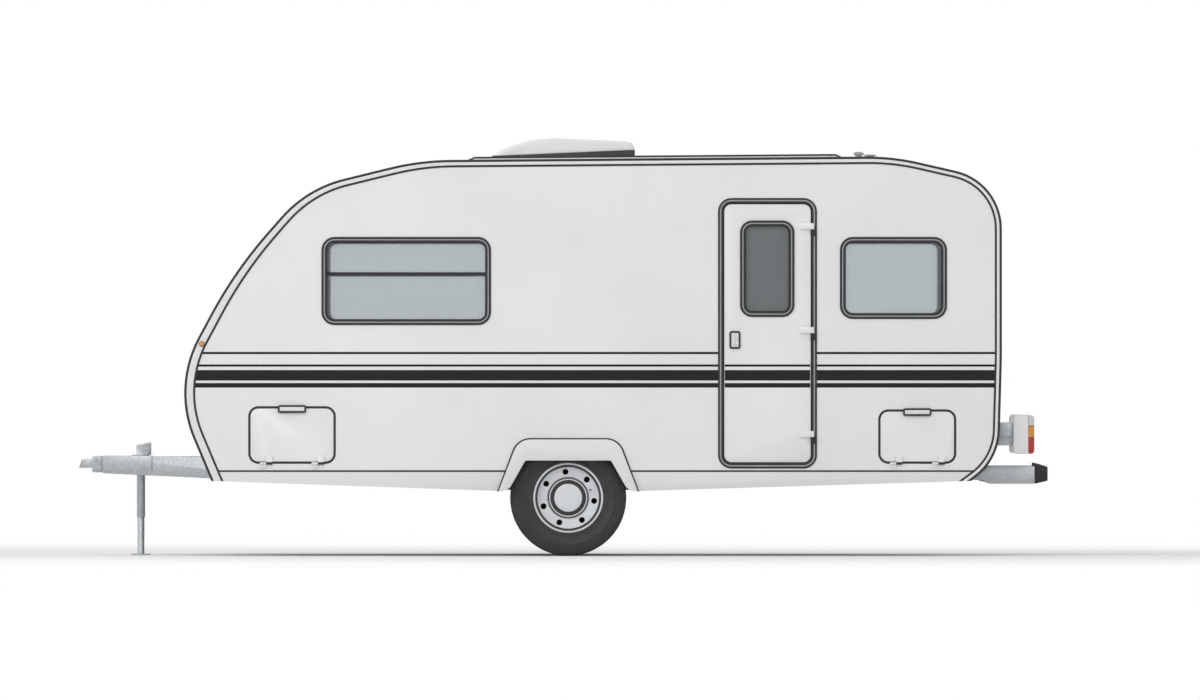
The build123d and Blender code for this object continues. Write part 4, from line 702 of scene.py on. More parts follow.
def stripe(shape, wall, starts, ends, low, high):
    """Strip of vinyl; each end has its station at the low and at the high edge."""
    corners = [(starts[0], low), (ends[0], low), (ends[1], high), (starts[1], high)]
    outer = [wall(x, z, STRIPE_OUT) for x, z in corners]
    inner = [wall(x, z, -STRIPE_IN) for x, z in corners]
    shape.loft([inner, outer], along=True)
    shape.add(outer, [(0, 1, 2, 3)])


body_stripes = Shape()
door_stripes = Shape()
for low, high, over_door in STRIPES:
    fronts = [edge_x(z, False) + BEAD_WIDTH for z in (low, high)]
    rears = [edge_x(z, True) - BEAD_WIDTH for z in (low, high)]
    stripe(body_stripes, left_wall, fronts, [DOOR_OUTLINE.x0] * 2, low, high)
    stripe(body_stripes, left_wall, [DOOR_OUTLINE.x1] * 2, rears, low, high)
    stripe(body_stripes, right_wall, fronts, rears, low, high)
    if over_door:
        leaf_ends = [[DOOR_OUTLINE.x0 + LEAF_INSET] * 2, [DOOR_OUTLINE.x1 - LEAF_INSET] * 2]
        stripe(door_stripes, left_wall, *leaf_ends, low, high)
for low, high, _ in STRIPES:
    for rear in (False, True):
        loop = end_line(STRIPE_OUT, low, high, rear) + end_line(-STRIPE_IN, low, high, rear)[::-1]
        body_stripes.loft([[Vector((x, y, z)) for x, z in loop] for y in (-END_HALF, END_HALF)], along=True)
body_stripes.make("body_stripes", "chassis", "black_plastic", [stripe_vinyl])
door_stripes.make("door_stripes", "door", "black_plastic", [stripe_vinyl])

# Window seals: rubber with a grey filler strip pressed into its groove
SEAL_SECTION = mm(
    (-18, -2), (0, 0), (0, 5), (-4, 8), (-11, 8), (-14, 5), (-22, 5), (-25, 8), (-34, 7.5), (-38, 3),
    (-38, -11), (-30, -12), (-18, -28),
)
FILLER_SECTION = mm((-13.5, 4.8), (-15.5, 7.2), (-20.5, 7.2), (-22.5, 4.8))
INNER_SEAL_SECTION = mm((-18, -28), (0, -29.5), (0, -36), (-38, -36), (-38, -18), (-30, -17.8))
DOOR_INNER_SECTION = mm((-18, -23), (0, -24.5), (0, -32), (-38, -32), (-38, -18), (-30, -17.8))
# Bar across the front windows: half height, inset of its ends, inner and outer face on each side
BAR_HALF = 0.011
BAR_END = 0.034
BAR_FACES = ((-1.105, -1.115), (1.097, 1.123))


def window_seal(shape, panel, wall, inner=INNER_SEAL_SECTION):
    """Outer lip, filler strip and inner lip of one window."""
    ring(shape, panel, wall, SEAL_SECTION, 0)
    ring(shape, panel, wall, FILLER_SECTION, 1, around=False)
    ring(shape, panel, wall, inner, 0)


seals = Shape()
for panel, wall in (
    (FRONT_WINDOW, left_wall), (FRONT_WINDOW, right_wall), (REAR_SIDE_WINDOW, left_wall),
    (REAR_SIDE_WINDOW, right_wall), (END_WINDOW, rear_wall),
):
    window_seal(seals, panel, wall)
for y0, y1 in BAR_FACES:
    seals.block(
        (FRONT_WINDOW.x0 + BAR_END, y0, WINDOW_BAR_Z - BAR_HALF),
        (FRONT_WINDOW.x1 - BAR_END, y1, WINDOW_BAR_Z + BAR_HALF),
        radius=0.004, segments=3,
    )
seals.make("window_seals_dressed", "chassis", "black_rubber", [rubber, filler], ("window_seals",))
door_seal = Shape()
window_seal(door_seal, DOOR_WINDOW, left_wall, DOOR_INNER_SECTION)
door_seal.make("door_window_seal_dressed", "door", "black_rubber", [rubber, filler], ("door_window_seal",))

# Door frame: black section with a grey strip, reveal and inner stop
FRAME_SECTION = mm(
    (0, 0), (0, 4), (-3, 6), (-10, 6), (-12, 3.5), (-21, 3.5), (-23, 6), (-32, 6), (-35, 4), (-35, -29),
    (-47, -30), (-47, -36), (-18, -36), (-18, -1),
)
FRAME_STRIP = mm((-11.5, 3.4), (-13.5, 5.6), (-19.5, 5.6), (-21.5, 3.4))
door_surround = Shape()
ring(door_surround, DOOR_OUTLINE, left_wall, FRAME_SECTION)
ring(door_surround, DOOR_OUTLINE, left_wall, FRAME_STRIP, 1, around=False)
door_surround.make("door_frame_dressed", "chassis", "black_rubber", [rubber, filler], ("door_frame",))

# Hatch gaskets that ride on the hatches
GASKET_SECTION = mm((-10, 0.2), (-9, 2.2), (-2, 2.6), (3, 1), (3.4, -18), (0.2, -20))
for name, hatch in HATCHES.items():
    gasket = Shape()
    ring(gasket, hatch, left_wall, GASKET_SECTION, around=False)
    gasket.make(f"{name}_hatch_gasket", f"{name}_hatch", "black_rubber", [rubber])

# Beads round the wheel arch, and a black strip along the top of the skirt that is painted shadow of the gap
# there
# Wheel arch from the axle: along, up, corner radius
ARCH_TIP = (0.446, 0.413)
ARCH_SHOULDER = (0.318, 0.746, 0.112)
ARCH_CORNER = (0.274, 0.611, 0.018)
ARCH_FLARE = (0.380, 0.424, 0.060)


def arch_line(grow):
    """Outer edge of the wheel arch moulding from tip to tip, moved outwards."""
    along, top, radius = ARCH_SHOULDER
    corners = [
        (AXLE_X - ARCH_TIP[0] - grow, ARCH_TIP[1]), (AXLE_X - along - grow, top + grow),
        (AXLE_X + along + grow, top + grow), (AXLE_X + ARCH_TIP[0] + grow, ARCH_TIP[1]),
    ]
    return rounded(corners, [0, radius + grow, radius + grow, 0], 10, closed=False)


def arch_inner_line(grow):
    """Inner edge of the wheel arch moulding, moved outwards."""
    corner, top, corner_radius = ARCH_CORNER
    flare, flare_z, flare_radius = ARCH_FLARE
    half = [(ARCH_TIP[0] + grow, ARCH_TIP[1]), (flare + grow, flare_z + grow), (corner + grow, top + grow)]
    corners = [(AXLE_X - along, z) for along, z in half]
    corners += [(AXLE_X + along, z) for along, z in reversed(half)]
    radii = [0, flare_radius, corner_radius, corner_radius, flare_radius, 0]
    return rounded(corners, radii, 8, closed=False)


ARCH_BEAD = mm((-2, 19), (2, 15), (6, 6), (9, 0.3))
ARCH_LIP = mm((0, 16), (2, 19.4), (8, 19.8), (11, 19))
# Black strip over the joint at the top of the skirt, in the black rubber finish: painted shadow of the gap
SKIRT_SHADOW_STRIP = mm((538, 0.2), (540, 3), (546, 3.4), (549, 0.2))
ARCH_EDGE = ARCH_TIP[0] - 0.055
SKIRT_RUNS = (
    (edge_x(WALL_BOTTOM_Z, False), AXLE_X - ARCH_EDGE),
    (AXLE_X + ARCH_EDGE, edge_x(WALL_BOTTOM_Z, True)),
)
beads_and_shadow_strip = Shape()
for wall in (left_wall, right_wall):
    moulding(beads_and_shadow_strip, wall, arch_line, ARCH_BEAD)
    moulding(beads_and_shadow_strip, wall, arch_inner_line, ARCH_LIP)
    # Painted shadow strip along the top of the skirt
    for run in SKIRT_RUNS:
        beads_and_shadow_strip.loft([[wall(x, z, out) for x in run] for z, out in SKIRT_SHADOW_STRIP])

# Gaiters inside the notches where the drawbar and the bumper arms leave the body
# Each: bottom, top, inner and outer edge across, whether it is at the rear
GAITERS = ((0.500, 0.680, 0.120, 0.640, False), (0.500, 0.640, 0.660, 0.820, True))
GAITER_DEPTHS = (0.012, 0.017)
for low, high, inner, outer, rear in GAITERS:
    near, far = [end_line(-depth, low, high, rear) for depth in GAITER_DEPTHS]
    loop = near + far[::-1]
    for _, side in SIDES:
        beads_and_shadow_strip.loft([[Vector((x, side * y, z)) for x, z in loop] for y in (inner, outer)], along=True)
# Arch beads, gaiters and the painted shadow strip on the skirt, all in black rubber
beads_and_shadow_strip.make("sealing_beads_and_painted_shadow_strip", "chassis", "black_rubber", [rubber])

# Tyres: moulded sidewalls and a tread of ribs cut by slanted grooves
# Sidewall from the bead outwards: half width, radius
SIDEWALL = mm(
    (90, 203), (90.5, 222.5), (97.5, 223.5), (99.5, 230), (98.5, 244), (96.5, 250), (101, 262), (107, 280),
    (110, 296), (112, 298), (112, 303), (109.5, 305), (108.5, 318), (110.5, 320), (109.5, 325), (106, 337),
    (101, 350), (96, 360), (92, 365.5),
)
TREAD_HALF = 0.088
TREAD_DEPTH = 0.008
TREAD_STEPS = 288
CROWN_DROP = 0.0065
RIB_STATIONS = [-TREAD_HALF, -0.070, -0.034, 0.0, 0.034, 0.070, TREAD_HALF, -0.026, 0.026]
GROOVES = (-0.052, -0.017, 0.017, 0.052)
GROOVE_HALF = 0.0045
GROOVE_EDGES = (GROOVE_HALF - 0.0004, GROOVE_HALF + 0.0006)
BLOCKS = 48
CUT_SLANT = 9
CUT_SHARE = 0.17
CUT_START = 0.024
CUT_DEPTH = TREAD_DEPTH * 0.8
SHOULDER_RADIUS = 0.345
SHOULDER_CUT = 0.004
SHOULDER_SHARE = 0.34


def tread_radius(across, turn):
    """Radius of the tread: crowned, with round grooves and slanted cuts towards the shoulders."""
    crown = TYRE_RADIUS - CROWN_DROP * (abs(across) / TREAD_HALF) ** 3
    if any(abs(across - groove) < GROOVE_HALF for groove in GROOVES):
        return crown - TREAD_DEPTH
    slant = (turn * BLOCKS + across * CUT_SLANT) % 1.0
    if abs(across) > CUT_START and slant < CUT_SHARE:
        return crown - CUT_DEPTH
    return crown


def shoulder_radius(radius, turn):
    """Radius of the sidewall: the slanted cuts run out over the shoulder."""
    if radius > SHOULDER_RADIUS and (turn * BLOCKS) % 1.0 < SHOULDER_SHARE:
        return radius - SHOULDER_CUT
    return radius


def tyre_rail(centre, across, radius_at):
    """Ring round a tyre; its radius depends on the share of a turn."""
    rail = []
    for step in range(TREAD_STEPS):
        turn = 2 * pi * step / TREAD_STEPS
        radius = radius_at(step / TREAD_STEPS)
        rail.append(centre + Vector((radius * cos(turn), across, radius * sin(turn))))
    return rail


tread_stations = sorted(
    RIB_STATIONS + [groove + way * half for groove in GROOVES for way in (-1, 1) for half in GROOVE_EDGES]
)
for name, side in SIDES:
    centre = Vector((AXLE_X, side * WHEEL_OUT, TYRE_RADIUS))
    walls = [(across, partial(shoulder_radius, radius)) for across, radius in SIDEWALL]
    rails = [tyre_rail(centre, -across, radius_at) for across, radius_at in walls]
    rails += [tyre_rail(centre, across, partial(tread_radius, across)) for across in tread_stations]
    rails += [tyre_rail(centre, across, radius_at) for across, radius_at in reversed(walls)]
    tyre = Shape()
    tyre.loft(rails, along=True)
    tyre.make(f"tyre_{name}_dressed", f"wheel_{name}", "tyre", [tyre_rubber], (f"tyre_{name}",), 40)

# Wheels: bands on the flange and drum, pale cap in a black collar, brake drum, dust shield and valve
# Each band: finish and its section, (outwards from the wheel's middle, radius)
DARK, PALE, IRON = 0, 1, 2
WHEEL_BANDS = (
    (DARK, mm((95, 196.5), (98.5, 197.5), (99.2, 204), (98.5, 211), (95, 212))),
    (DARK, mm((20, 129), (66, 129), (68.5, 127.5), (68.5, 124.5), (66, 123))),
    (PALE, mm((66, 123), (70, 121.5), (71.5, 118.5), (70, 115.5), (66, 114))),
    (DARK, mm((66, 114), (64, 111), (62.5, 100), (64, 93), (64, 89))),
    (PALE, mm((26, 90.5), (88, 90), (93.5, 87), (96, 80), (98.5, 50), (99.5, 0))),
    (IRON, mm(
        (-139, 21), (-139, 112), (-134, 118), (-115, 118), (-113, 115), (-109, 115), (-107, 118), (-85, 118),
        (-79, 116), (-65, 92), (20, 90),
    )),
    (IRON, mm((-84, 110), (-84, 184), (-81, 186), (-78, 184), (-78, 110))),
)
VALVE = mm((0, 6.2), (16, 5.2), (22, 4.5), (23, 0))
VALVE_CIRCLE = 0.150
VALVE_TURN = radians(20)
VALVE_OUT = 0.064
for name, side in SIDES:
    hub = Shape()
    centre = Vector((AXLE_X, side * WHEEL_OUT, TYRE_RADIUS))
    axis = (0, side, 0)
    for mark, band in WHEEL_BANDS:
        hub.lathe(band, centre, axis, 96, mark)
    aside = Vector((VALVE_CIRCLE * cos(VALVE_TURN), side * VALVE_OUT, VALVE_CIRCLE * sin(VALVE_TURN)))
    hub.lathe(VALVE, centre + aside, axis, 16, DARK)
    finishes = [black_plastic, wheel_paint, dark_steel]
    hub.make(f"hub_{name}_dressed", f"wheel_{name}", "chrome", finishes, (f"hub_{name}",))

# Door handle: black bezel with a pale paddle and a lock barrel
HANDLE = Panel(1.070, 1.141, 1.325, 1.440, 0.016)
GRIP = Panel(HANDLE.x0 + 0.020, HANDLE.x0 + 0.036, HANDLE.z0 + 0.024, HANDLE.z1 - 0.024, 0.006)
BEZEL_SECTION = mm((0, 0), (0, 6), (-3, 10), (-9, 10), (-12, 6), (-12, 0))
PADDLE_SECTION = mm((-12, 3), (-13, 7), (-17, 9), (-22, 9.5))
GRIP_SECTION = mm((0, 9), (-0.5, 20), (-3, 24), (-5, 24.5))
HANDLE_LOCK = mm((9, 8.5), (13, 8), (14, 6), (12.5, 4.5), (12.5, 0))
HANDLE_LOCK_AT = left_wall(HANDLE.x1 - 0.020, (HANDLE.z0 + HANDLE.z1) / 2 - 0.022, 0.0)
handle = Shape()
ring(handle, HANDLE, left_wall, BEZEL_SECTION, 0)
slab(handle, HANDLE, left_wall, PADDLE_SECTION, 1)
slab(handle, GRIP, left_wall, GRIP_SECTION, 1)
handle.lathe(HANDLE_LOCK, HANDLE_LOCK_AT, LEFT, 24, 2)
finishes = [black_plastic, white_trim, bright]
handle.make("door_handle_dressed", "door", "black_plastic", finishes, ("door_handle",))

# Marker lamps: amber dome on a black base
MARKER_X, MARKER_Z = -2.306, 1.357
MARKER_Y = HALF_WIDTH + 0.006
MARKER_BASE = mm((0, 18), (4, 18), (5, 16.5))
MARKER_DOME = mm((4, 15), (8, 14), (11, 10), (12, 0))
markers = Shape()
for _, side in SIDES:
    for mark, section in enumerate((MARKER_BASE, MARKER_DOME)):
        markers.lathe(section, (MARKER_X, side * MARKER_Y, MARKER_Z), (0, side, 0), 32, mark)
markers.make("marker_lamps_dressed", "chassis", "amber_lens", [black_plastic, amber_lens], ("marker_lamps",))

# Tail lamp lenses: red, amber and clear bands with black joints between them
LENS_JOINTS = (0.42, 0.72)
JOINT_HALF = 0.0025
lamp_low, lamp_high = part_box("lamp_lenses")
joints = [lamp_low.z + (lamp_high.z - lamp_low.z) * share for share in LENS_JOINTS]
lamp = soft_solid("lamp_lenses", radius=0.006, segments=3)
for joint in joints:
    for edge in (joint - JOINT_HALF, joint + JOINT_HALF):
        everything = lamp.verts[:] + lamp.edges[:] + lamp.faces[:]
        bmesh.ops.bisect_plane(lamp, geom=everything, plane_co=(0, 0, edge), plane_no=UP)
lenses = Shape()
for face in lamp.faces:
    height = face.calc_center_median().z
    mark = sum(height > joint for joint in joints)
    if any(abs(height - joint) < JOINT_HALF for joint in joints):
        mark = len(joints) + 1
    lenses.add([vert.co for vert in face.verts], [range(len(face.verts))], mark)
lamp.free()
finishes = [red_lens, amber_lens, clear_lens, black_plastic]
lenses.make("lamp_lenses_dressed", "chassis", "red_lens", finishes, ("lamp_lenses",))

# Reflectors: red triangles on the back, clear discs on the front; each sits at (across, up)
RED_AT = (0.640, 0.780)
RED_REFLECTOR = mm((90, -2), (90, 5), (87, 7), (78, 7), (76, 6), (2, 6))
TRIANGLE = (0, radians(120), radians(240))
CLEAR_AT = (0.960, 0.900)
CLEAR_REFLECTOR = mm((-2, 36), (5, 35), (7, 31), (6.5, 28), (6.5, 0))
reflectors = Shape()
for _, side in SIDES:
    spot, facing = land("rear_panel", (FAR, side * RED_AT[0], RED_AT[1]), FORWARD)
    rear_face = flat_wall(spot, RIGHT, facing.cross(RIGHT))
    rails = []
    for size, out in RED_REFLECTOR:
        corners = [(size * sin(turn), size * cos(turn)) for turn in TRIANGLE]
        rails.append([rear_face(along, up, out) for along, up in rounded(corners, [size / 6] * 3)])
    reflectors.loft(rails, 0, along=True)
    landing = land("front_panel", (-FAR, side * CLEAR_AT[0], CLEAR_AT[1]), BACK)
    reflectors.lathe(CLEAR_REFLECTOR, *landing, 40, 1)
reflectors.make("reflectors", "chassis", "red_lens", [red_lens, clear_lens])

# Roof: sealing strips over the joints, deck edge, mushroom vents and the cooler's louvres
ROOF_MIDDLE, ROOF_SLOPE = (0.0, 0.0, 2.5352), (3.024, 0.0, 0.024)
roof = flat_wall(ROOF_MIDDLE, ROOF_SLOPE, RIGHT)
SEALING = mm((-12, -1), (-9, 2), (0, 3), (9, 2), (12, -1))
ROOF_JOINTS = (-1.177, 2.397)
DECK = Panel(-0.622, 1.810, -0.720, 0.720, 0.002)
DECK_BEAD = mm((-4, 6), (2, 5), (10, 2), (14, -2))
DECK_HEIGHT = 0.025
DECK_SLOPE = 0.060
DECK_PROFILE = (
    (DECK.x0, 0.0), (DECK.x0 + DECK_SLOPE, DECK_HEIGHT), (DECK.x1 - DECK_SLOPE, DECK_HEIGHT), (DECK.x1, 0.0)
)
DECK_EDGE = mm((-10, 0.4), (-9, 1.6), (0.8, 1.8), (1.8, 1), (1.8, -9), (0.4, -10))
DECK_SCREWS_X = [-0.550 + step * 0.286 for step in range(9)]
DECK_SCREWS_Y = 0.700
# Vents: x, y, radius, height; their section is in shares of the height and the radius
VENTS = ((1.902, -0.520, 0.035, 0.042), (1.976, -0.330, 0.045, 0.026))
VENT_SECTION = (
    (-0.02, 1.0), (0.08, 1.0), (0.14, 0.80), (0.20, 0.64), (0.50, 0.64),
    (0.52, 0.92), (0.62, 1.0), (0.80, 0.94), (0.94, 0.62), (1.0, 0.0),
)
GRILLE_MIDDLE, GRILLE_SLOPE = (0.452, 0.0, 2.6315), (-0.028, 0.0, 0.055)
grille = flat_wall(GRILLE_MIDDLE, RIGHT, GRILLE_SLOPE)
GRILLE = Panel(-0.260, 0.260, -0.019, 0.019, 0.006)
GRILLE_SECTION = mm((0, -4), (0, 1), (-1, 1.5))
LOUVRES_UP = [-0.0135 + step * 0.009 for step in range(4)]
LOUVRE_REACH, LOUVRE_HALF = 0.254, 0.003
LOUVRE = mm((0, 0.5), (-0.8, 3.5), (-2, 4.2))
RIBS_Y = (-0.220, -0.110, 0.0, 0.110, 0.220)
RIB_X = [-0.400 + step * 0.030 for step in range(8)]
RIB = mm((-12, -1), (-9, 2.5), (9, 2.5), (12, -1))
roof_fittings = Shape()
for x in ROOF_JOINTS:
    strip(roof_fittings, [land("roof_panel", (x, y, FAR), DOWN) for y in (-END_HALF, END_HALF)], SEALING, 1)
ring(roof_fittings, DECK, roof, DECK_BEAD, 1, around=False)
for _, side in SIDES:
    rails = [
        [roof(x, side * (DECK.z1 + aside), up + out) for x, up in DECK_PROFILE] for aside, out in DECK_EDGE
    ]
    roof_fittings.loft(rails, 4)
for _, side in SIDES:
    for x in DECK_SCREWS_X:
        screw(roof_fittings, land("roof_deck", (x, side * DECK_SCREWS_Y, FAR), DOWN), 2)
for x, y, radius, height in VENTS:
    roof_fittings.lathe(scaled(VENT_SECTION, height, radius), roof(x, y, 0.0), UP, 40, 1)
slab(roof_fittings, GRILLE, grille, GRILLE_SECTION, 3)
for up in LOUVRES_UP:
    louvre = Panel(-LOUVRE_REACH, LOUVRE_REACH, up - LOUVRE_HALF, up + LOUVRE_HALF, 0.002)
    slab(roof_fittings, louvre, grille, LOUVRE, 0)
for y in RIBS_Y:
    strip(roof_fittings, [land("air_conditioner_shroud", (x, y, FAR), DOWN) for x in RIB_X], RIB, 0)
finishes = [white_trim, filler, bright, black_plastic, rubber]
roof_fittings.make("roof_fittings", "chassis", "white_trim", finishes, ("roof_vents",))

# Fasteners: coupling bolts and the screws of the skirts
COUPLING_BOLTS = ((-3.005, 0.610), (-2.980, 0.560))
SKIRT_SCREWS_X = [-2.150 + step * 0.400 for step in range(12)]
SKIRT_SCREWS_Z = 0.520
fasteners = Shape()
for x, z in COUPLING_BOLTS:
    for _, side in SIDES:
        bolt(fasteners, land("coupling", (x, side * FAR, z), (0, -side, 0)))
for _, side in SIDES:
    for x in SKIRT_SCREWS_X:
        landing = land("side_skirts", (x, side * FAR, SKIRT_SCREWS_Z), (0, -side, 0))
        if landing[0]:
            screw(fasteners, landing, 1)
fasteners.make("fasteners", "chassis", "galvanised", [zinc, white_trim])

# Hatch latches: black surround with a pale paddle and a lock barrel
LATCH_HALF = 0.091
LATCH_BELOW, LATCH_ABOVE = 0.038, 0.012
LATCH_RADIUS = 0.014
LATCH_SURROUND = mm((0, 0), (0, 12), (-3, 15.5), (-10, 15.5), (-12, 13))
LATCH_PADDLE = mm((-12, 12), (-13, 14.5), (-16, 16))
LATCH_LOCK = mm((0, 7.5), (1.5, 7), (2, 5.5), (1, 4.5), (1, 0))
LATCH_LOCK_OUT = 0.0155
for name, hatch in HATCHES.items():
    latch = Shape()
    middle = (hatch.x0 + hatch.x1) / 2
    plate = Panel(
        middle - LATCH_HALF, middle + LATCH_HALF, hatch.z1 - LATCH_BELOW, hatch.z1 + LATCH_ABOVE, LATCH_RADIUS
    )
    ring(latch, plate, left_wall, LATCH_SURROUND, 0)
    slab(latch, plate, left_wall, LATCH_PADDLE, 1)
    latch.lathe(LATCH_LOCK, left_wall(middle, (plate.z0 + plate.z1) / 2, LATCH_LOCK_OUT), LEFT, 24, 2)
    finishes = [black_plastic, white_trim, bright]
    latch.make(
        f"{name}_hatch_latch_dressed", f"{name}_hatch", "grey_plastic", finishes, (f"{name}_hatch_latch",)
    )


# Inner faces of the door and hatches: raised panels and an inside latch
def inner_wall(node, x, z):
    """Wall on the inner face of a solid on the door side; it runs forwards."""
    spot, _ = land(node, (x, 0.0, z), LEFT)
    return flat_wall((0, spot.y, 0), FORWARD, UP)


BACKING = mm((-45, -1), (-46, 3), (-49, 5), (-70, 5), (-74, 3))
DOOR_MIDDLE = (1.315, 1.000)
DOOR_PANEL = Panel(-1.500, -1.120, 0.690, 1.250, 0.030)
DOOR_PANEL_SECTION = mm((0, -1), (-1, 3), (-4, 5), (-28, 5), (-32, 3))
LEVER_PLATE = Panel(-1.150, -1.085, 1.330, 1.435, 0.014)
LEVER_PLATE_SECTION = mm((0, -1), (0, 6), (-4, 9))
LEVER = Panel(-1.145, -1.096, 1.375, 1.391, 0.007)
LEVER_SECTION = mm((0, 12), (0, 20), (-3, 23))
LEVER_PIVOT_AT = (-1.104, 1.383, 0.0)
LEVER_PIVOT = mm((6, 10), (16, 9), (18, 0))
for name, hatch in HATCHES.items():
    backing = Shape()
    hatch_wall = inner_wall(f"{name}_hatch", (hatch.x0 + hatch.x1) / 2, (hatch.z0 + hatch.z1) / 2)
    slab(backing, Panel(-hatch.x1, -hatch.x0, hatch.z0, hatch.z1, hatch.radius), hatch_wall, BACKING)
    backing.make(f"{name}_hatch_backing", f"{name}_hatch", "grey_plastic", [grey_plastic])
door_inside = Shape()
door_wall = inner_wall("door_leaf", *DOOR_MIDDLE)
slab(door_inside, DOOR_PANEL, door_wall, DOOR_PANEL_SECTION, 0)
slab(door_inside, LEVER_PLATE, door_wall, LEVER_PLATE_SECTION, 1)
door_inside.lathe(LEVER_PIVOT, door_wall(*LEVER_PIVOT_AT), RIGHT, 20, 2)
slab(door_inside, LEVER, door_wall, LEVER_SECTION, 2)
door_inside.make("door_inside", "door", "white_trim", [white_trim, black_plastic, bright])

# Door hinge screws ride on the door
HINGES_Z = (0.760, 1.425, 2.090)
HINGE_SCREWS_X = (1.530, 1.560)
hinge_screws = Shape()
for z in HINGES_Z:
    for x in HINGE_SCREWS_X:
        screw(hinge_screws, land("door_leaf", (x, -FAR, z), RIGHT))
hinge_screws.make("door_hinge_screws", "door", "chrome", [bright])

# Cabin fittings: door fronts with knobs, worktop with sink, tap and hob
FRONT_SECTION = mm((0, -1), (0, 13), (-2, 16), (-30, 16), (-34, 13))
FRONT_RADIUS = 0.006
KNOB = mm((14, 6), (26, 5), (30, 11), (36, 12), (39, 8), (40, 0))
KNOB_DROP = 0.060
# Face of each unit: its place across, the way it looks, its fronts along X and their heights
UNIT_FRONTS = (
    (0.500, -1, ((-0.780, -0.230), (-0.215, 0.335), (0.350, 0.880)), ((0.660, 1.180), (1.200, 1.430))),
    (-0.520, 1, ((-0.420, 0.025), (0.040, 0.480)), ((0.660, 1.400), (1.420, 2.260))),
    (-0.620, 1, ((0.530, 0.940),), ((0.660, 1.340),)),
    (0.540, -1, ((1.760, 2.170), (2.190, 2.600)), ((0.640, 0.960),)),
    (-0.540, 1, ((1.760, 2.170), (2.190, 2.600)), ((0.640, 0.960),)),
)
WORKTOP_Z = 1.470
COUNTER = Panel(-0.805, 0.905, 0.485, 1.090, 0.006)
COUNTER_SECTION = mm((0, 1), (0, 26), (-3, 30))
SINK = Panel(-0.700, -0.280, 0.570, 0.930, 0.060)
SINK_SECTION = mm((12, 30.2), (10, 33), (2, 33), (-2, 28), (-8, 6), (-20, 2))
HOB = Panel(0.330, 0.780, 0.560, 0.960, 0.020)
HOB_SECTION = mm((0, 30), (0, 34), (-3, 36))
BURNERS = ((0.440, 0.760, 0.036), (0.670, 0.760, 0.036))
BURNER = mm((0, 52), (8, 50), (10, 34), (20, 30), (22, 0))
TAP_FOOT = (-0.490, 0.985, 0.030)
TAP_STEM = mm((0, 22), (8, 20), (12, 11), (180, 10), (186, 0))
TAP_HEAD = (-0.490, 0.985, 0.190)
TAP_SPOUT = mm((-12, 0), (-10, 9), (120, 8), (126, 0))
cabin = Shape()
for across, looks, columns, rows in UNIT_FRONTS:
    unit = flat_wall((0, across, 0), (-looks, 0, 0), UP)
    for column in columns:
        x0, x1 = sorted(-looks * x for x in column)
        for z0, z1 in rows:
            slab(cabin, Panel(x0, x1, z0, z1, FRONT_RADIUS), unit, FRONT_SECTION, 0)
            cabin.lathe(KNOB, unit((x0 + x1) / 2, z1 - KNOB_DROP, 0.0), (0, looks, 0), 20, 2)
counter = flat_wall((0, 0, WORKTOP_Z), BACK, RIGHT)
ring(cabin, COUNTER, counter, COUNTER_SECTION, 1, around=False)
edge, top = COUNTER_SECTION[-1]
worktop_loops = (panel_loop(COUNTER, edge), panel_loop(SINK))
cabin.loft([[counter(x, y, top) for x, y in loop] for loop in worktop_loops], 1, along=True)
slab(cabin, SINK, counter, SINK_SECTION, 2)
slab(cabin, HOB, counter, HOB_SECTION, 3)
for burner in BURNERS:
    cabin.lathe(BURNER, counter(*burner), UP, 32, 3)
cabin.lathe(TAP_STEM, counter(*TAP_FOOT), UP, 20, 2)
cabin.lathe(TAP_SPOUT, counter(*TAP_HEAD), LEFT, 20, 2)
cabin.make("cabin_fittings", "chassis", "cabinet_board", [board, worktop, steel_sink, black_plastic])

# Upholstery: crowned pads blown up as cloth, with piping along their seams
CROWN = 0.012


def pad(shape, low, high, corner, count):
    """Closed cushion form inside a box: rounded edges, sides pulled in between the corners."""
    middle = (Vector(low) + Vector(high)) / 2
    half = (Vector(high) - Vector(low)) / 2
    mesh = bmesh.new()
    bmesh.ops.create_cube(mesh, size=2.0)
    bmesh.ops.subdivide_edges(mesh, edges=mesh.edges[:], cuts=count, use_grid_fill=True)
    for vert in mesh.verts:
        unit = vert.co.copy()
        point = Vector([unit[i] * half[i] for i in range(3)])
        core = Vector([max(-half[i] + corner, min(half[i] - corner, point[i])) for i in range(3)])
        away = point - core
        if away.length > corner:
            point = core + away.normalized() * corner
        flatness = [1 - abs(unit[i]) ** 4 for i in range(3)]
        for axis in range(3):
            others = [flatness[i] for i in range(3) if i != axis]
            point[axis] -= CROWN * (1 - others[0] * others[1]) * unit[axis] ** 3
        vert.co = middle + point
    shape.take(mesh)


def applied(piece):
    """Take over what the piece's modifiers make of it."""
    shown = piece.evaluated_get(bpy.context.evaluated_depsgraph_get())
    piece.data = bpy.data.meshes.new_from_object(shown)
    piece.modifiers.clear()


SIM_FRAMES = 20
PRESSURE = 4.0
SWELL = 0.008


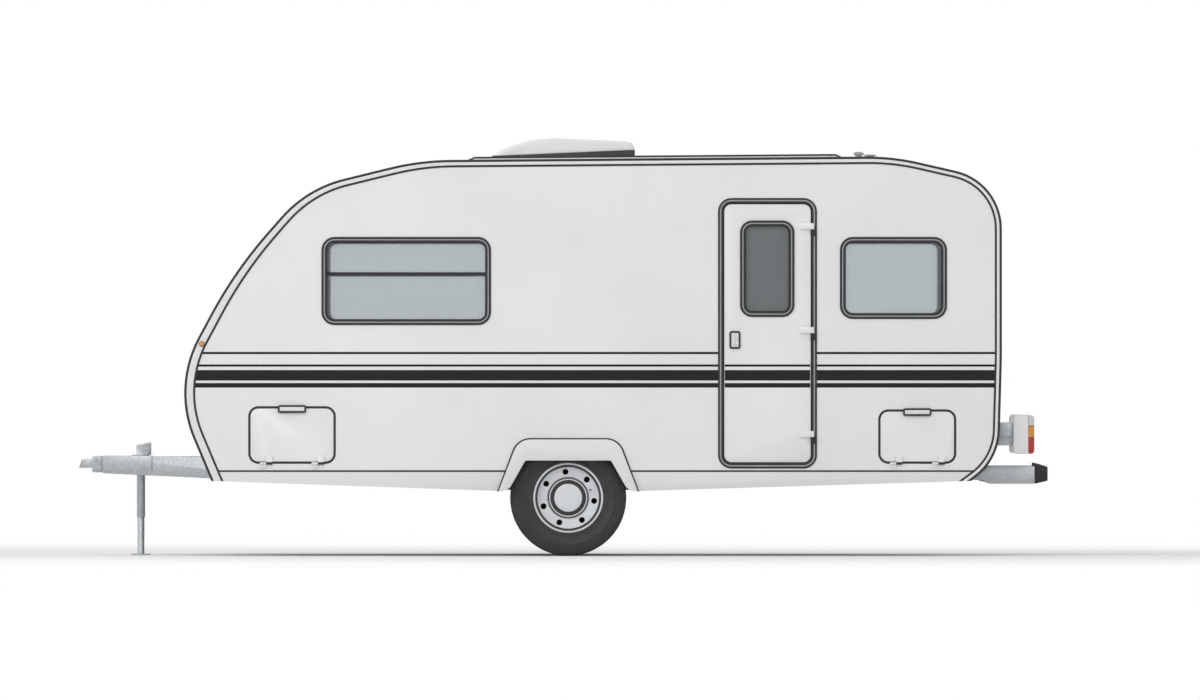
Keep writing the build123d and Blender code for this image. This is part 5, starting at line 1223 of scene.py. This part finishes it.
def inflate(shape, name, voxel):
    """Blow closed forms up as cloth; no point moves further than the swell."""
    mesh = bpy.data.meshes.new(name)
    mesh.from_pydata(shape.points, [], shape.faces)
    piece = bpy.data.objects.new(name, mesh)
    bpy.context.scene.collection.objects.link(piece)
    remesh = piece.modifiers.new("remesh", "REMESH")
    remesh.mode = "VOXEL"
    remesh.voxel_size = voxel
    applied(piece)
    start = [vert.co.copy() for vert in piece.data.vertices]
    cloth_modifier = piece.modifiers.new("cloth", "CLOTH")
    cloth_modifier.settings.use_pressure = True
    cloth_modifier.settings.uniform_pressure_force = PRESSURE
    cloth_modifier.settings.effector_weights.gravity = 0.0
    for step in range(1, SIM_FRAMES + 1):
        bpy.context.scene.frame_set(step)
    applied(piece)
    bpy.context.scene.frame_set(1)
    for vert, origin in zip(piece.data.vertices, start):
        move = vert.co - origin
        if move.length > SWELL:
            vert.co = origin + move.normalized() * SWELL
    piece.modifiers.new("subdivision", "SUBSURF").levels = 1
    applied(piece)
    blown = piece.data
    bpy.data.objects.remove(piece)
    return blown


PIPING_RADIUS = 0.005
PIPING = [(PIPING_RADIUS * cos(pi * turn / 4), PIPING_RADIUS * sin(pi * turn / 4)) for turn in range(8)]
PIPING_CORNER = 0.040


def piping(shape, mesh, low, high, axis, inset):
    """Cord along both seams round a pad, laid on its surface an inset from its ends along one axis."""
    tree = tree_of(mesh)
    first, second = [i for i in range(3) if i != axis]
    box = Panel(low[first], high[first], low[second], high[second], PIPING_CORNER)
    middle = (Vector(low) + Vector(high)) / 2
    for height in (low[axis] + inset, high[axis] - inset):
        landings = []
        for along, across in panel_loop(box, 0.001, 12):
            start = Vector((0, 0, 0))
            start[first], start[second], start[axis] = along, across, height
            inwards = middle - start
            inwards[axis] = 0.0
            landings.append(tree.ray_cast(start, inwards.normalized())[:2])
        strip(shape, landings, PIPING + PIPING[:1], closed=True)


INSET = Vector((SWELL, SWELL, SWELL / 2))
BUTTON_RADIUS = 0.035
BUTTON_DEPTH = 0.010
BUTTON_REACH = 3
BUTTON_COLUMNS, BUTTON_ROWS = 4, 6


def upholster(node, boxes, corner, count, voxel, seam, buttons=()):
    """Mesh of the pads that fill boxes of a solid, pressed in at the buttons, and the piping on it."""
    low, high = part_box(node)
    form = Shape()
    for box_low, box_high, _ in boxes:
        pad(form, box_low + INSET, box_high - INSET, corner, count)
    blown = inflate(form, node + "_form", voxel)
    for vert in blown.vertices:
        vert.co.z = max(vert.co.z, low.z)
        if vert.co.z > (low.z + high.z) / 2:
            for x, y in buttons:
                apart = hypot(vert.co.x - x, vert.co.y - y) / BUTTON_RADIUS
                if apart < BUTTON_REACH:
                    vert.co.z -= BUTTON_DEPTH * exp(-apart * apart)
    seams = Shape()
    for box_low, box_high, axis in boxes:
        piping(seams, blown, box_low, box_high, axis, seam)
    return blown, seams


low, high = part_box("mattress")
buttons = [
    (
        low.x + (high.x - low.x) * column / (BUTTON_COLUMNS + 1),
        low.y + (high.y - low.y) * row / (BUTTON_ROWS + 1),
    )
    for column in range(1, BUTTON_COLUMNS + 1) for row in range(1, BUTTON_ROWS + 1)
]
blown, seams = upholster(
    "mattress", [(low, high, 2)], corner=0.045, count=40, voxel=0.020, seam=0.030, buttons=buttons
)
blown.materials.append(bedding)
mattress = place("mattress_dressed", blown, "chassis", ("mattress",), SOFT_ANGLE)
seams.make("mattress_piping", "chassis", "bedding", [bedding], smooth=SOFT_ANGLE)

SEAT_EDGES = (0.540, 1.085)
BACKREST_EDGES = (1.005, 1.095)
SEAT_THICK = 0.090
SEAT_GAP = 0.003
low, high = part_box("bench_cushions")
seat_top = low.z + SEAT_THICK
middle_x = (low.x + high.x) / 2
# Cushions: low corner, high corner, the axis that the seams run round
boxes = []
for _, side in SIDES:
    seat = sorted(side * y for y in SEAT_EDGES)
    back = sorted(side * y for y in BACKREST_EDGES)
    for x0, x1 in ((low.x, middle_x), (middle_x, high.x)):
        boxes.append((Vector((x0, seat[0], low.z)), Vector((x1, seat[1], seat_top)), 2))
        boxes.append((Vector((x0, back[0], seat_top + SEAT_GAP)), Vector((x1, back[1], high.z)), 1))
blown, seams = upholster("bench_cushions", boxes, corner=0.030, count=14, voxel=0.014, seam=0.022)
blown.materials.append(upholstery)
cushions = place("bench_cushions_dressed", blown, "chassis", ("bench_cushions",), SOFT_ANGLE)
seams.make("cushion_piping", "chassis", "upholstery", [piping_cloth], smooth=SOFT_ANGLE)


def seen_rays(shader):
    """Factor that is one for rays from the camera, a mirror or glass."""
    path = shader.node("ShaderNodeLightPath").outputs
    factor = path["Is Camera Ray"]
    for kind in ("Is Glossy Ray", "Is Transmission Ray"):
        factor = shader.math("MAXIMUM", factor, path[kind])
    return factor


# Stage: pale floor that keeps the shadow and fades into the white surroundings
FADE_START, FADE_END = 5.0, 12.0
FLOOR_REACH = 160.0
floor_finish = Finish("studio_floor", (0.88, 0.88, 0.88), 0.9)
around = floor_finish.node("ShaderNodeTexCoord").outputs["Object"]
distance = floor_finish.node("ShaderNodeVectorMath", {0: around}, operation="LENGTH").outputs["Value"]
fading = {"Value": distance, "From Min": FADE_START, "From Max": FADE_END}
fade = floor_finish.node("ShaderNodeMapRange", fading).outputs["Result"]
blend = floor_finish.math("MULTIPLY", fade, seen_rays(floor_finish))
glow = floor_finish.node("ShaderNodeEmission", {"Color": (1, 1, 1, 1), "Strength": 1.0}).outputs[0]
mixing = {0: blend, 1: floor_finish.shader.outputs[0], 2: glow}
mixed = floor_finish.node("ShaderNodeMixShader", mixing).outputs[0]
floor_finish.links.new(mixed, floor_finish.nodes["Material Output"].inputs["Surface"])
floor_mesh = bpy.data.meshes.new("studio_floor")
corners = [(x * FLOOR_REACH, y * FLOOR_REACH, 0) for x, y in ((-1, -1), (1, -1), (1, 1), (-1, 1))]
floor_mesh.from_pydata(corners, [], [(0, 1, 2, 3)])
floor_mesh.materials.append(floor_finish.material)
studio_floor = bpy.data.objects.new("studio_floor", floor_mesh)
bpy.context.scene.collection.objects.link(studio_floor)

world = bpy.data.worlds.new("studio")
world.use_nodes = True
bpy.context.scene.world = world
studio = Nodes(world.node_tree)
sky = studio.nodes["Background"]
sky.inputs["Color"].default_value = (0.95, 0.97, 1.0, 1.0)
sky.inputs["Strength"].default_value = 0.55
white = studio.node("ShaderNodeBackground", {"Color": (1, 1, 1, 1), "Strength": 1.0})
pick = studio.node("ShaderNodeMixShader", {0: seen_rays(studio), 1: sky.outputs[0], 2: white.outputs[0]})
studio.links.new(pick.outputs[0], studio.nodes["World Output"].inputs["Surface"])


def softbox(name, spot, target, size, power):
    """Large area lamp aimed at a point."""
    light = bpy.data.lights.new(name, "AREA")
    light.shape = "RECTANGLE"
    light.size, light.size_y = size
    light.energy = power
    lamp = bpy.data.objects.new(name, light)
    lamp.location = spot
    lamp.visible_camera = False
    lamp.rotation_euler = (Vector(target) - Vector(spot)).to_track_quat("-Z", "Y").to_euler()
    bpy.context.scene.collection.objects.link(lamp)


softbox("key", (-6.0, -8.0, 8.0), (0.2, -1.0, 1.2), (13.0, 9.0), 600)
softbox("fill", (8.0, -9.0, 5.0), (0.5, -1.0, 1.0), (9.0, 6.0), 150)
softbox("top", (-1.0, 1.0, 9.0), (0.0, 0.0, 1.0), (7.0, 4.0), 40)
softbox("back", (3.0, 10.0, 6.0), (0.0, 1.0, 1.2), (13.0, 7.0), 340)

# Camera: square on to the door side; its lens is very long because the drawing is a parallel view
# Picture scale in metres a pixel, lens and sensor in millimetres
PICTURE_SCALE = 0.0064
PICTURE_WIDTH = 1200
VIEW_CENTRE = Vector((0.2416, -HALF_WIDTH, 1.3184))
SENSOR = 36.0
LENS = 900.0
camera_data = bpy.data.cameras.new("camera")
camera_data.sensor_width = SENSOR
camera_data.lens = LENS
camera_data.clip_end = 1000.0
camera = bpy.data.objects.new("camera", camera_data)
range_out = PICTURE_SCALE * PICTURE_WIDTH * LENS / SENSOR
camera.location = VIEW_CENTRE + Vector((0, -range_out, 0))
camera.rotation_euler = (radians(90), 0, 0)
bpy.context.scene.collection.objects.link(camera)
bpy.context.scene.camera = camera
bpy.context.scene.view_settings.view_transform = "Standard"
